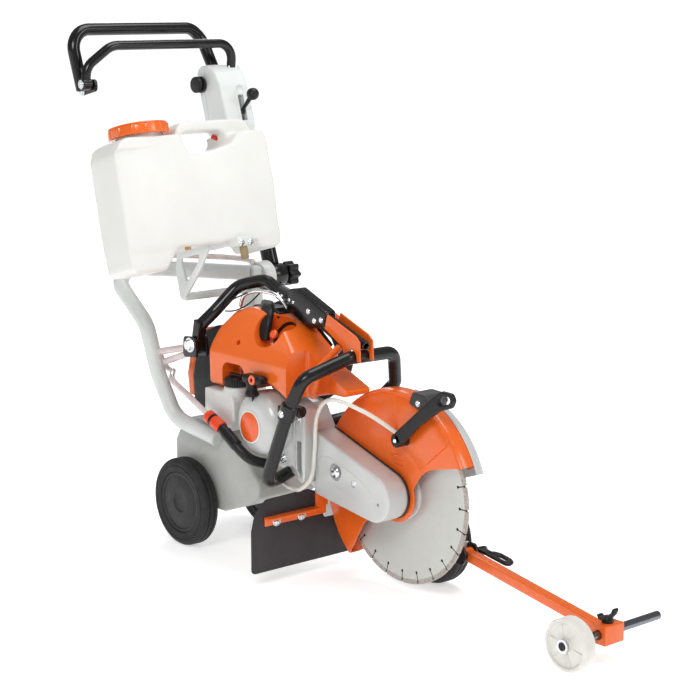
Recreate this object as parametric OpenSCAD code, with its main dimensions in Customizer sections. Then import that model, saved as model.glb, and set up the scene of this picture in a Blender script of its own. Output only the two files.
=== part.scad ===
// Walk-behind concrete saw: a petrol cut-off saw on a three-wheeled push cart.
// X runs forward, Y to the machine's left, Z up. Inside the modules, x = 0 is the rear axle,
// y = 0 the plane of the blade and z = 0 the floor. placed() moves that to the origin used
// outside, which is the middle of the whole machine's footprint.

/* [Blade] */
// Blade diameter
blade_d = 350; // [340:1:352]
// Blade core thickness
blade_t = 2.8; // [2:0.1:3.2]
// Number of diamond segments
segments = 24; // [12:1:30]

/* [Wheels] */
// Wheel diameter
wheel_d = 180; // [170:1:184]
// Tyre width
wheel_w = 38; // [30:1:40]
// Guide roller diameter
roller_d = 92; // [88:1:94]

/* [Tubes] */
// Frame tube diameter
frame_d = 32; // [28:1:34]
// Handlebar tube diameter
bar_d = 25; // [22:1:26]
// Bail tube diameter
bail_d = 19; // [16:1:20]
// Front handle and clamp arm tube diameter
grip_d = 25; // [22:1:26]

/* [Tank] */
// Tank depth, front to back
tank_deep = 100; // [96:1:104]
// Tank wall thickness
tank_wall = 3; // [2:0.5:4]

/* [Hidden] */
$fn = 48;

mid_x = 424;                     // middle of the footprint, from the rear axle
mid_y = -91;                     // and from the plane of the blade
fit = 0.05;                      // radial clearance of everything that turns or slides
wheel_r = wheel_d / 2;
hub_r = wheel_r * 0.7;
frame_r = frame_d / 2;
bar_r = bar_d / 2;
bail_r = bail_d / 2;
grip_r = grip_d / 2;
roller_r = roller_d / 2;
blade_r = blade_d / 2;

axle_r = 10;
axle_in = 9;                               // axles end this far inside the outer wheel faces
right_y = [-152, -152 + wheel_w];          // right rear wheel, outer and inner face
left_y = [62, 62 + wheel_w];               // left rear wheel and front wheel
front_x = 510;                             // front axle
pan_y = [-108, 50];                        // saddle pan, right and left flank
pan_wall = 4;
bar_y = [50.5, 58];                        // front carrier's side bar

spin = [511, 0, 191];                      // blade centre
crank = [255, 0, 276];                     // crankshaft centre
spindle_r = 10;
flange_r = 51;
panel_deep = 2.5;
arm_y = [-64, -24];                        // bearer arm casting
belt_cover_y = -78;                        // belt cover's outer face
arm_r = 45;                                // radius of the bearer arm's end
guard_r = 198;
guard_far_r = 185;                         // guard's radius on its left flank
guard_y = [-22, 37];
guard_from = 25;                           // guard's front edge, degrees above forward
guard_sweep = 203;

pivot = [49, -135, 423];                   // clamp arm's hinge
pivot_r = 8;
hub = [20, 0, 536];                        // handle column's hinge
hub_pin_r = 6;
guide_pin_r = 5;
bail_pin_r = 5;
lever_pin_r = 3;
latch_pin_r = 3;
trigger_pin_r = 2.5;
rod_r = 8;                                 // guide rod
crank_r = 12;                              // crankshaft
filler = [166, -126];                      // middle of the fuel tank's filler
filler_r = 16;
tilt = -14.7;                              // tank leans back by this angle
lean = -17;                                // console leans back by this angle
tank_foot = [125, -150, 612];              // tank's front edge at its feet
console_foot = [-52, 63, 830];             // console's front edge at its foot
guide_pivot = [622, 61, 84];
guide_yaw = -6.5;                          // guide arm runs inwards and down to its block
guide_drop = 5.6;
guide_len = 374;
rod_c = [1005, 0, 46];                     // guide rod's axis
lever_pivot = [-71, 74, 868];
latch_pivot = [388, 0, 480];
trigger_pivot = [240, 6, 474];
lock_pivot = [276, 6, 502];
rope_at = [250, -150, 0];
bail_pivot = [-124, 0, 932];
knob_at = [-138, 26, 922];

// ---- helpers ----

function unit(v) = v / norm(v);

// arc of radius r that rounds the corner b of the line a-b-c
function corner(a, b, c, r, n = 4) =
    let (u = unit(a - b), w = unit(c - b), half = acos(u * w) / 2, t = r / tan(half),
        centre = b + unit(u + w) * r / sin(half))
    [for (k = [0:n]) centre + r * unit(b + u * t * (1 - k / n) + w * t * k / n - centre)];

// a bent tube's centre line: straight runs with every inner corner rounded to radius r
function bent(p, r) = [p[0], for (i = [1:len(p) - 2]) each corner(p[i - 1], p[i], p[i + 1], r),
    p[len(p) - 1]];

// a smooth curve through hand-placed points
function smooth(p, n = 4) = [for (i = [0:len(p) - 2]) for (k = [0:n - 1])
    let (a = p[max(i - 1, 0)], b = p[i], c = p[i + 1], d = p[min(i + 2, len(p) - 1)], t = k / n)
    0.5 * (2 * b + (c - a) * t + (2 * a - 5 * b + 4 * c - d) * t * t
        + (3 * b - a - 3 * c + d) * t * t * t), p[len(p) - 1]];

// round tube swept along a path; side is any direction the path never runs along
module sweep(path, r, sides = 16, side = [0, 1, 0]) {
    n = len(path);
    rings = [for (i = [0:n - 1])
        let (t = unit(path[min(i + 1, n - 1)] - path[max(i - 1, 0)]),
            s = unit(cross(side, t)), v = cross(t, s))
        for (k = [0:sides - 1])
            path[i] + r * (s * cos(360 * k / sides) + v * sin(360 * k / sides))];
    walls = [for (i = [0:n - 2]) for (k = [0:sides - 1])
        let (a = i * sides + k, b = i * sides + (k + 1) % sides, c = b + sides, d = a + sides)
        each [[a, d, c], [a, c, b]]];
    ends = [[for (k = [0:sides - 1]) k],
        [for (k = [sides - 1:-1:0]) (n - 1) * sides + k]];
    polyhedron(rings, concat(walls, ends), convexity = 8);
}

// side outline, drawn as [x, z], standing between two planes of y
module slab(y0, y1) translate([0, y1, 0]) rotate([90, 0, 0]) linear_extrude(y1 - y0) children();
// round bar or bore across the machine
module across(x, z, y0, y1, r) translate([x, y0, z]) rotate([-90, 0, 0])
    cylinder(r = r, h = y1 - y0);
// round ring across the machine
module ring(x, z, y0, y1, r, bore) difference() {
    across(x, z, y0, y1, r);
    across(x, z, y0 - 1, y1 + 1, bore);
}
// hexagonal head across the machine
module hex(x, z, y0, y1, flats) translate([x, y0, z]) rotate([-90, 0, 0])
    cylinder(d = flats / cos(30), h = y1 - y0, $fn = 6);
// block given by its lowest and highest corners
module block(a, b) translate(a) cube(b - a);
// tank, console and guide arm frames
module in_tank() translate(tank_foot) rotate([0, tilt, 0]) children();
module in_console() translate(console_foot) rotate([0, lean, 0]) children();
module in_guide() translate(guide_pivot) rotate([0, 0, guide_yaw]) rotate([0, guide_drop, 0])
    children();
module placed() translate([-mid_x, -mid_y, 0]) children();

// ---- cart ----

pan_side = [[-70, 82], [-70, 205], [-40, 252], [-20, 258], [112, 258], [128, 248], [205, 172],
    [213, 155], [207, 132], [171, 110], [92, 82]];
pan_hollow = [[-66, 60], [-66, 203], [-37, 249], [-19, 254], [110, 254], [125, 245], [201, 170],
    [208, 154], [203, 135], [170, 114], [92, 87], [86, 60]];

module pan() color("gainsboro") difference() {
    slab(pan_y[0], pan_y[1]) polygon(pan_side);
    slab(pan_y[0] + pan_wall, pan_y[1] - pan_wall) polygon(pan_hollow);
    across(0, wheel_r, pan_y[0] - 1, pan_y[1] + 1, axle_r);
}

frame_route = [[96, -122, 236], [-20, -142, 262], [-64, -152, 350], [-82, -165, 448],
    [-196, -182, 556], [-120, -70, 548], [26, 22, 548]];

module cart_frame() color("whitesmoke") sweep(bent(frame_route, 60), frame_r, 18, [0.9, 0.4, 0.1]);

module hub_post() color("whitesmoke") {
    slab(14, 38) polygon([[8, 258], [52, 258], [52, 300], [40, 562], [0, 562], [8, 300]]);
    difference() {
        across(hub[0], hub[2], 38, 66, 33);
        across(hub[0], hub[2], 58, 67, 27);
    }
    across(hub[0], hub[2], 58, 141, hub_pin_r);
}

module rear_axle() color("silver") {
    across(0, wheel_r, right_y[0] + axle_in, left_y[1] - axle_in, axle_r);
}

module tank_bracket() color("silver") {
    in_tank() {
        block([-130, -20, 19], [-6, 106, 29]);
        translate([0, 8, 0]) rotate([90, 0, 0]) linear_extrude(6) difference() {
            polygon([[-134, -73], [-116, -69], [-50, -22], [-16, 10], [-16, 21], [-120, 21],
                [-134, -10]]);
            polygon([[-112, 8], [-42, 8], [-58, -10], [-104, -42]]);
        }
        block([-10, 50, 8], [20, 92, 27]);
        translate([8, 71, -16]) cylinder(r = 8, h = 30);
    }
    block([14, -145, 508], [30, 14, 522]);
}

module hinge_bracket() color("dimgray") {
    difference() {
        union() {
            for (y = [-152, -126]) slab(y, y + 6)
                polygon([[24, 396], [70, 400], [66, 441], [26, 438]]);
            slab(-146, -126) polygon([[24, 396], [31, 396], [30, 430], [25, 430]]);
        }
        across(pivot[0], pivot[2], -160, -100, pivot_r);
    }
    across(pivot[0], pivot[2], -156, -116, pivot_r);
    hex(pivot[0], pivot[2], -162, -156, 19);
    sweep([[-66, -152, 392], [25, -138, 414]], 7, 12);
    sweep([[-56, -140, 372], [25, -134, 402]], 7, 12);
}

module tyre(y) translate([0, y, wheel_r]) rotate([-90, 0, 0]) rotate_extrude() polygon([
    [hub_r, 0], [wheel_r - 16, 0], [wheel_r - 14, 3], [wheel_r - 10, 3], [wheel_r - 8, 0],
    [wheel_r - 4, 1], [wheel_r, 6], [wheel_r, wheel_w - 6], [wheel_r - 4, wheel_w - 1],
    [wheel_r - 8, wheel_w], [hub_r, wheel_w]]);
module wheel_hub(y) translate([0, y, wheel_r]) rotate([-90, 0, 0]) rotate_extrude() polygon([
    [axle_r + fit, 0], [16, 0], [18, 4], [hub_r - 6, 4], [hub_r - 3, 2], [hub_r, 2],
    [hub_r, wheel_w - 2], [hub_r - 6, wheel_w - 4], [18, wheel_w - 4], [16, wheel_w],
    [axle_r + fit, wheel_w]]);

module rear_tyre_right() color("#222222") tyre(right_y[0]);
module rear_hub_right() color("#333333") wheel_hub(right_y[0]);
module rear_tyre_left() color("#222222") tyre(left_y[0]);
module rear_hub_left() color("#333333") wheel_hub(left_y[0]);
module front_tyre() color("#222222") translate([front_x, 0, 0]) tyre(left_y[0]);
module front_hub() color("#333333") translate([front_x, 0, 0]) wheel_hub(left_y[0]);

module front_carrier() color("whitesmoke") difference() {
    union() {
        slab(bar_y[0], bar_y[1]) polygon([[-24, 112], [24, 112], [520, 112], [560, 102], [606, 102],
            [606, 66], [560, 66], [520, 66], [24, 66], [-24, 66]]);
        block([603, 43, 66], [608, 79, 102]);
        for (y = [43, 74]) slab(y, y + 5)
            polygon([[608, 66], [628, 66], [638, 84], [628, 102], [608, 102]]);
    }
    across(0, wheel_r, 40, 70, axle_r + fit);
    across(front_x, wheel_r, 40, 70, axle_r);
    in_guide() across(0, 0, -30, 30, guide_pin_r);
}

module front_axle() color("silver") {
    across(front_x, wheel_r, bar_y[0], left_y[1] - axle_in, axle_r);
    in_guide() {
        across(0, 0, -17, 44, guide_pin_r);
        across(0, 0, 41, 44, 8);
    }
}

// ---- guide arm ----

module guide_arm() color("darkorange") difference() {
    union() {
        in_guide() block([0, -10, -10], [guide_len - 4, 10, 10]);
        in_guide() across(0, 0, -10, 10, 12);
        block([988, -6, 29], [1022, 42, 63]);
    }
    in_guide() across(0, 0, -20, 20, guide_pin_r + fit);
    across(rod_c[0], rod_c[2], -20, 60, rod_r + fit);
    translate([rod_c[0], 18, 50]) cylinder(r = 4 + fit, h = 20);
}

module guide_rod() color("silver") {
    difference() {
        across(rod_c[0], rod_c[2], -92, 150, rod_r);
        ring(rod_c[0], rod_c[2], 43, 46, rod_r + 2, rod_r - 0.8);
    }
    across(rod_c[0], rod_c[2], -94, -92, 12);
    across(rod_c[0], rod_c[2], -56, -53, 12);
}

module guide_roller() color("white") translate([rod_c[0], -88, rod_c[2]]) rotate([-90, 0, 0])
    difference() {
        rotate_extrude() polygon([[rod_r + fit, 0], [15, 0], [15, 8], [roller_r - 8, 10],
            [roller_r - 8, 0], [roller_r - 2, 0], [roller_r, 3], [roller_r, 25], [roller_r - 2, 28],
            [roller_r - 8, 28], [roller_r - 8, 18], [15, 20], [15, 28],
            [rod_r + fit, 28]]);
        for (a = [0:60:300]) rotate(a + 30) translate([27, 0, 5]) cylinder(r = 6, h = 20);
    }

module wing_bolt() color("#222222") translate([rod_c[0], 18, 0]) {
    translate([0, 0, 54.4]) cylinder(r = 4, h = 10);
    translate([0, 0, 63.3]) cylinder(r = 10, h = 8);
    for (side = [-1, 1]) translate([0, side * 14, 71]) rotate([0, 90, 0])
        translate([0, 0, -3]) intersection() {
            cylinder(r = 13, h = 6);
            translate([-20, side > 0 ? -8 : -13, 0]) cube([27, 21, 6]);
        }
    translate([-6, -7, 66]) cube([12, 14, 10]);
}

module pedal() color("#222222") in_guide() difference() {
    union() {
        across(0, 0, 20, 40, 9);
        block([2, 22, 2], [40, 38, 8]);
        translate([56, 30, 2]) intersection() {
            cylinder(r = 36, h = 6);
            translate([-36, -10, 0]) cube([72, 30, 6]);
        }
    }
    across(0, 0, 15, 45, guide_pin_r + fit);
}

// ---- handle ----

module column_tube() color("#333333") {
    difference() {
        across(hub[0], hub[2], 67, 104, 24);
        across(hub[0], hub[2], 60, 110, hub_pin_r + fit);
    }
    sweep(bent([[8, 86, 556], [-40, 84, 700], [-90, 66, 850], [-104, 64, 890]], 60), 17, 16);
    slab(80, 92) polygon([[20, 514], [44, 520], [58, 496], [46, 488]]);
}

module star_knob() color("#222222") translate([hub[0], 112, hub[2]]) rotate([-90, 0, 0])
    difference() {
        union() {
            cylinder(r = 20, h = 26);
            for (k = [0:6]) rotate(360 * k / 7) translate([19, 0, 0]) cylinder(r = 7, h = 26);
            translate([0, 0, -7]) cylinder(r = 11, h = 7);
        }
        translate([0, 0, -8]) cylinder(r = hub_pin_r + fit, h = 37);
    }

console_w = 74;
module console_side() polygon([[-8, 0], [0, 12], [0, 96], [-10, 128], [-30, 148],
    [-52, 152], [-68, 146], [-74, 132], [-74, 12], [-66, 0]]);

module console() color("gainsboro") {
    across(bail_pivot[0], bail_pivot[2], 72, 97, bail_pin_r);
    console_shell();
}
module console_shell() difference() {
    in_console() translate([0, console_w / 2, 0]) rotate([90, 0, 0])
        linear_extrude(console_w) console_side();
    in_console() {
        translate([-60, -31, -1]) cube([50, 62, 40]);              // open foot round the column
        translate([-18, 4, 22]) cube([28, 14, 54]);                // throttle lever slot
        translate([-68, 9, 101]) cube([48, 40, 60]);               // bail recess
    }
    across(lever_pivot[0], lever_pivot[2], 60, 95, lever_pin_r);
    across(knob_at[0], knob_at[2], 10, 40, 4 + fit);
}

handle_route = [[-138, 58, 944], [-177, 54, 1012], [-177, 24, 1037], [-175, -270, 1037],
    [-156, -255, 918]];

module handlebar() color("#222222") {
    sweep(bent(handle_route, 34), bar_r, 18, [0.6, 0.1, -0.2]);
    slab(-257, -251) polygon([[-168, 905], [-106, 919], [-108, 944], [-164, 932]]);
    across(bail_pivot[0], bail_pivot[2], bail_end[0] - 1, -252, bail_pin_r);
    across(-154, 917, -262, -257, 7);
}

bail_route = [[-124, 86, 932], [-118, 88, 1006], [-118, -210, 1006], [-122, -266, 966],
    [-124, -268, 932]];
bail_end = [-278, -258];                   // boss at the bail's right end

module bail() color("#222222") difference() {
    union() {
        sweep(bent(bail_route, 48), bail_r, 16, [0.8, 0.1, -0.3]);
        across(bail_pivot[0], bail_pivot[2], 76, 96, 12);
        across(bail_pivot[0], bail_pivot[2], bail_end[0], bail_end[1], 12);
    }
    across(bail_pivot[0], bail_pivot[2], bail_end[0] - 5, bail_end[1] + 15, bail_pin_r + fit);
    across(bail_pivot[0], bail_pivot[2], 70, 100, bail_pin_r + fit);
}

module side_knob() color("#1a1a1a") translate(knob_at) rotate([90, 0, 0]) {
    translate([0, 0, -10]) cylinder(r = 4, h = 12);
    translate([0, 0, 0.3]) cylinder(r = 7, h = 5);
    translate([0, 0, 3]) cylinder(r = 17, h = 6);
    translate([0, 0, 8]) cylinder(r = 8, h = 6);
    translate([0, 0, 13]) cylinder(r = 17, h = 9);
}

module throttle_lever() color("#1a1a1a") {
    across(lever_pivot[0], lever_pivot[2], 62, 90, lever_pin_r - fit);
    across(lever_pivot[0], lever_pivot[2], 69, 79, 6);
    translate(lever_pivot) rotate([0, 46, 0]) cylinder(r = 4, h = 50);
    translate(lever_pivot + [39, 0, 37]) sphere(r = 13);
}

// ---- tank ----

tank_front = [[-180, -12], [-172, -20], [-104, -20], [-86, 2], [-60, 30], [112, 30], [122, 4],
    [160, 0], [174, 10], [184, 130], [180, 222], [172, 240], [160, 262], [146, 268], [4, 268],
    [-10, 256], [-18, 238], [-150, 238], [-166, 228], [-176, 206], [-182, 60]];
tank_space = [[-174, -8], [-168, -15], [-108, -15], [-90, 6], [-66, 34], [118, 34], [128, 9],
    [158, 6], [168, 14], [178, 130], [176, 184], [-172, 184], [-176, 60]];
tank_slot = [[-6, 200], [30, 200], [92, 214], [104, 228], [100, 242], [90, 247], [10, 247],
    [-10, 238], [-16, 222]];
hoop_x = [-76, -30];                       // rear and front face of the tank's hand hoop
cap_at = [-54, -86];
cap_z = 244.3;
neck_r = 40;

module water_tank() color("white") in_tank() difference() {
    union() {
        translate([-tank_deep, 0, 0]) rotate([90, 0, 90]) linear_extrude(tank_deep) polygon(tank_front);
        translate([cap_at[0], cap_at[1], 220]) cylinder(r = neck_r + 5, h = 42);
        translate([-12, -46, 14]) cylinder(r = 6, h = 18);
    }
    translate([tank_wall - tank_deep, 0, 0]) rotate([90, 0, 90])
        linear_extrude(tank_deep - 2 * tank_wall) polygon(tank_space);
    translate([-tank_deep - 1, 0, 0]) rotate([90, 0, 90]) linear_extrude(tank_deep + 2)
        polygon(tank_slot);
    for (x = [[-tank_deep - 1, hoop_x[0]], [hoop_x[1], 1]])
        translate([x[0], -30, 240]) cube([x[1] - x[0], 210, 40]);
    translate([cap_at[0], cap_at[1], 100]) cylinder(r = neck_r, h = 170);
}

module tank_cap() color("darkorange") in_tank() translate([cap_at[0], cap_at[1], cap_z])
    difference() {
        union() {
            cylinder(r = 58, h = 23);
            for (k = [0:11]) rotate(30 * k + 15) translate([56, -4, 0]) cube([4, 8, 20]);
        }
        translate([0, 0, -1]) cylinder(r = neck_r + 5 + fit, h = 19);
    }

// ---- clamp ----

prong = [[396, -57, 458], [391, -102, 424], [378, -110, 372]];
arm_route = [[60, -134, 462], [78, -112, 490], [94, -64, 540], [150, -38, 554], [206, -38, 530],
    [350, -40, 502]];

module swing_arm() color("#222222") {
    difference() {
        union() {
            across(pivot[0], pivot[2], -145.7, -126.3, 16);
            slab(-145.7, -126.3) polygon([[36, 432], [62, 424], [74, 468], [54, 474]]);
            sweep(bent(arm_route, 26), grip_r, 18, [0.5, -0.6, -0.6]);
        }
        across(pivot[0], pivot[2], -160, -110, pivot_r + fit);
    }
    slab(-54, -28) polygon([[226, 508], [238, 550], [262, 552], [352, 516], [342, 486],
        [300, 478]]);
    sweep([[340, -41, 505], [452, -41, 465]], 9, 16);
}

module clamp_channel() color("darkorange") {
    for (y = [-58, -26]) slab(y, y + 3.5) difference() {
        polygon([[352, 486], [360, 514], [440, 484], [452, 474], [454, 436], [408, 436],
            [404, 458]]);
        translate([430, 442]) circle(r = grip_r + 2);
        translate([430 - grip_r - 2, 420]) square([2 * grip_r + 4, 22]);
    }
    slab(-54.5, -26) polygon([[366, 478], [372, 481], [404, 468], [401, 462]]);
    across(latch_pivot[0], latch_pivot[2], -23, -12, latch_pin_r);
    across(latch_pivot[0], latch_pivot[2], -15, -12, 7);
    for (k = [0, 1]) hull() for (p = [prong[k], prong[k + 1]])
        translate(p) rotate([60, 10, 0]) cylinder(r = 9, h = 5, $fn = 32);
}

module clamp_lever() color("orangered") difference() {
    slab(-21.5, -16) union() {
        translate([latch_pivot[0], latch_pivot[2]]) circle(r = 10);
        polygon([[386, 471], [391, 489], [428, 476], [436, 468], [430, 461]]);
    }
    across(latch_pivot[0], latch_pivot[2], -30, -10, latch_pin_r + fit);
}

// ---- saw ----

cover_side = [[92, 352], [90, 424], [100, 462], [126, 496], [160, 507], [205, 504], [282, 482],
    [330, 450], [377, 413], [449, 384], [446, 372], [400, 372], [340, 354], [300, 372],
    [262, 384], [222, 386], [206, 372], [206, 352]];
cover_y = [-138, -24];

module engine_cover() color("darkorange") {
    difference() {
        slab(cover_y[0], cover_y[1]) polygon(cover_side);
        slab(cover_y[0] + 3, cover_y[1] - 3) {
            offset(delta = -3) polygon(cover_side);
            translate([0, -9]) offset(delta = -3) polygon(cover_side);
        }
        block([136, -160, 335], [206, -98, 402]);
        block([335, -160, 330], [460, -84, 470]);
    }
    slab(-92, -36) polygon([[-40, 300], [-46, 345], [-32, 398], [4, 446], [16, 440], [-10, 395],
        [-24, 345], [-21.5, 300]]);
}

loop_route = [[62, -48, 430], [84, -4, 470], [150, 3, 496], [240, 6, 496], [312, 8, 462],
    [346, 6, 410], [312, 2, 362], [276, -16, 332], [272, -40, 322]];

module rear_handle() color("#1a1a1a") {
    slab(-96, -30) polygon([[-20, 285], [0, 272], [88, 272], [88, 442], [60, 458], [16, 440],
        [-10, 395], [-24, 345]]);
    sweep(bent(loop_route, 20), 14, 16, [0.1, 1, 0.05]);
    for (y = [-3, 12]) slab(y, y + 3) polygon([[226, 466], [226, 486], [254, 486], [254, 466]]);
    for (y = [-3, 12]) slab(y, y + 3) polygon([[268, 484], [268, 506], [284, 506], [284, 476]]);
    for (p = [trigger_pivot, lock_pivot]) across(p[0], p[2], -3, 15, trigger_pin_r - fit);
}

module throttle_trigger() color("#222222") difference() {
    slab(0.5, 11.5) union() {
        translate([trigger_pivot[0], trigger_pivot[2]]) circle(r = 5);
        polygon([[236, 469], [262, 452], [292, 434], [297, 439], [268, 460], [244, 478]]);
    }
    across(trigger_pivot[0], trigger_pivot[2], -10, 20, trigger_pin_r);
}
module throttle_lock() color("orangered") difference() {
    slab(0.5, 11.5) union() {
        translate([lock_pivot[0], lock_pivot[2]]) circle(r = 5);
        polygon([[274, 507], [300, 505], [330, 492], [328, 487], [300, 496], [276, 497]]);
    }
    across(lock_pivot[0], lock_pivot[2], -10, 20, trigger_pin_r);
}

module fuel_tank() color("whitesmoke") difference() {
    union() {
        slab(-150, -100) polygon([[92, 300], [104, 268], [172, 268], [186, 290], [186, 330],
            [176, 345], [92, 345]]);
        translate([filler[0], filler[1], 340]) cylinder(r = filler_r + 4, h = 16);
    }
    slab(-147, -103) polygon([[95, 301], [106, 271], [170, 271], [183, 291], [183, 329],
        [174, 342], [95, 342]]);
    translate([filler[0], filler[1], 330]) cylinder(r = filler_r, h = 40);
}
module fuel_cap() color("#1a1a1a") translate([filler[0], filler[1], 356.3]) {
    translate([0, 0, -10]) cylinder(r = filler_r - fit, h = 10);
    cylinder(r = 24, h = 18);
    translate([-20, -4, 18]) cube([40, 8, 6]);
}

starter_c = [252, 0, 298];
starter_y = [-156, -104];
module starter_housing() color("gainsboro") difference() {
    translate([starter_c[0], starter_y[0], starter_c[2]]) rotate([-90, 0, 0]) rotate_extrude()
        polygon([[0, 0], [34, 0], [50, 5], [59, 14], [62, 26], [62, 52], [56, 52], [56, 12],
            [0, 12]]);
    translate(rope_at + [0, 0, 300]) cylinder(r = 3, h = 80);
}
module starter_grip() color("#1a1a1a") translate(rope_at) {
    translate([0, 0, 304]) cylinder(r = 2.8, h = 64);
    translate([0, 0, 362]) cylinder(r = 9, h = 18);
    translate([-22, -12, 379]) cube([56, 23, 16]);
    translate([12, -12, 387]) rotate([90, 0, 0]) cylinder(r = 10, h = 3);
}

case_side = [[345, 292], [345, 334], [316, 345], [200, 345], [190, 306], [196, 252], [240, 216],
    [312, 204], [345, 182]];
module crankcase() color("gainsboro") difference() {
    slab(-104, arm_y[0]) polygon(case_side);
    across(crank[0], crank[2], -110, -60, crank_r + fit);
    across(228, 330, -110, -98, 5);
    across(330, 316, -110, -98, 6);
}

module cylinder_fins() color("silver") {
    translate([258, -66, 345]) difference() {
        union() {
            cylinder(r = 24, h = 78);
            for (k = [0:7]) translate([0, 0, 6 + 9 * k]) cylinder(r = 36, h = 3);
        }
        translate([0, 0, -1]) cylinder(r = 19, h = 66);
    }
}
module muffler() color("silver") block([300, -106, 358], [331, -40, 404]);

module air_filter() color("khaki") difference() {
    across(150, 448, -122, -40, 36);
    across(150, 448, -123, -48, 22);
}

drive_r = 20;
driven_r = 30;
module crankshaft() color("silver") {
    across(crank[0], crank[2], -140, -34, crank_r);
    ring(crank[0], crank[2], -138, -112, 31, crank_r);
    ring(crank[0], crank[2], -56, -38, drive_r, crank_r);
}

module spindle() color("silver") {
    across(spin[0], spin[2], -58, 12, spindle_r);
    ring(spin[0], spin[2], -56, -38, driven_r, spindle_r);
    hex(spin[0], spin[2], 12, 22, 19);
}

// closed loop round the two pulleys, grown outwards by g
function turn(c, r, a) = [c[0] + r * cos(a), c[2] + r * sin(a)];
function belt_loop(g) =
    let (dx = spin[0] - crank[0], dz = spin[2] - crank[2], a = atan2(dz, dx),
        f = acos((drive_r - driven_r) / norm([dx, dz])), n = 24)
    concat([for (k = [0:n]) turn(spin, driven_r + g, a - f + 2 * f * k / n)],
        [for (k = [0:n]) turn(crank, drive_r + g, a + f + (360 - 2 * f) * k / n)]);

module drive_belt() color("#111111") slab(-53, -41) difference() {
    polygon(belt_loop(5));
    polygon(belt_loop(0.1));
}

// casting outline: round nose about the blade spindle, widening back to the crankshaft
arm_side = [[524, 234], [345, 291], [316, 338], [256, 345], [210, 330], [192, 292], [200, 250],
    [240, 222], [330, 170], [505, 146]];
arm_space = [[522, 228], [343, 285], [312, 332], [256, 339], [214, 325], [198, 290], [205, 254],
    [243, 228], [333, 177], [506, 153]];

module arm_outline(r, side) {
    translate([spin[0], spin[2]]) circle(r = r);
    polygon(side);
}

module bearer_arm() color("silver") difference() {
    union() {
        slab(arm_y[0], arm_y[1]) arm_outline(arm_r, arm_side);
        across(spin[0], spin[2], arm_y[1], -12, 30);
    }
    slab(arm_y[0] - 1, arm_y[1] - 6) arm_outline(arm_r - 6, arm_space);
    across(spin[0], spin[2], -80, 0, spindle_r + fit);
}

module belt_cover() color("whitesmoke") {
    difference() {
        slab(belt_cover_y, arm_y[0]) arm_outline(arm_r, [[524, 234], [345.5, 291], [345.5, 167.5],
            [505, 146]]);
        slab(belt_cover_y + 4, arm_y[0] + 1) arm_outline(arm_r - 4, [[523, 229], [350, 285],
            [350, 172], [505, 151]]);
    }
    hex(408, 222, belt_cover_y - 7, belt_cover_y, 22);
    across(459, 209, belt_cover_y - 3, belt_cover_y, 6);
}

module front_handle() color("#1a1a1a") sweep(bent(handle_loop, 28), grip_r, 18, [0.7, 0.1, -0.3]);
handle_loop = [[296, -92, 206], [312, -172, 190], [378, -168, 346], [412, -160, 412],
    [430, -66, 442], [430, 48, 440], [408, 72, 374], [330, 66, 302], [307, -30, 291]];

module bellows(at, length, r) translate(at) rotate([0, 90, 0]) rotate_extrude()
    polygon([[0, 0], for (k = [0:length / 5 - 1]) each [[r - 3, 5 * k], [r, 5 * k + 2.5]],
        [r - 3, length], [0, length]]);
module av_springs() color("#1a1a1a") {
    bellows([316, -119, 335], 45, 11);
    bellows([90, -72, 300], 100, 12);
}

module flange(y0, y1) ring(spin[0], spin[2], y0, y1, flange_r, spindle_r);
module blade_flanges() color("dimgray") {
    flange(-10, -blade_t / 2);
    flange(blade_t / 2, 10);
}

module blade() color("lightgray") translate(spin) rotate([90, 0, 0]) {
    difference() {
        cylinder(r = blade_r - 8, h = blade_t, center = true, $fn = 96);
        cylinder(r = spindle_r, h = 10, center = true);
        for (k = [0:segments - 1]) rotate(360 * k / segments) {
            translate([blade_r - 20, -1, -5]) cube([20, 2, 10]);
            translate([blade_r - 22, 0, 0]) cylinder(r = 3, h = 10, center = true);
        }
    }
    for (k = [0:segments - 1]) rotate(360 * k / segments + 1)
        rotate_extrude(angle = 360 / segments - 2, $fn = 96)
            translate([blade_r - 10, -blade_t / 2 - 0.3]) square([10, blade_t + 0.6]);
}

module guard() color("darkorange") translate(spin) rotate([90, 0, 0]) {
    rotate(guard_from) rotate_extrude(angle = guard_sweep, $fn = 96)
        polygon([[50, -guard_y[0]], [guard_r - 2, -guard_y[0]], [guard_r, -guard_y[0] - 3],
            [guard_r, -8], [guard_far_r, -guard_y[1] + 3], [guard_far_r - 3, -guard_y[1]],
            [150, -guard_y[1]], [150, -guard_y[1] + 2.5], [guard_far_r - 4, -guard_y[1] + 2.5],
            [guard_r - 3, -8], [guard_r - 3, -guard_y[0] - 2.5], [50, -guard_y[0] - 2.5]]);
    difference() {
        translate([0, 0, -guard_y[0] - 4]) cylinder(r = 56, h = 4.5);
        cylinder(r = 30 + fit, h = 60);
    }
}

module guard_panel() color("silver") translate(spin) rotate([90, 0, 0])
    rotate(18) translate([0, 0, -guard_y[1] - panel_deep]) rotate_extrude(angle = 64, $fn = 96)
        translate([128, 0]) square([guard_far_r - 130, panel_deep]);

module guard_lever() color("#1a1a1a") {
    across(543, 303, -50, guard_y[0], 13);
    slab(-50, -40) difference() {
        polygon([[536, 314], [640, 400], [662, 414], [684, 414], [694, 404], [688, 390],
            [656, 380], [552, 292]]);
        hull() for (x = [662, 678]) translate([x, 399]) circle(r = 6);
    }
}

hose_route = [[20, 30, 569], [-30, 30, 571], [-100, -30, 574], [-176, -116, 574],
    [-196, -148, 548], [-158, -150, 500], [-112, -142, 440], [-94, -130, 390], [-82, -120, 356],
    [-56, -120, 350], [-30, -140, 350], [4, -162, 344], [70, -168, 322], [131, -170, 297]];

module water_hose() color("mistyrose") sweep(smooth(hose_route, 3), 6, 10, [0.3, 0.5, 0.8]);

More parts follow.
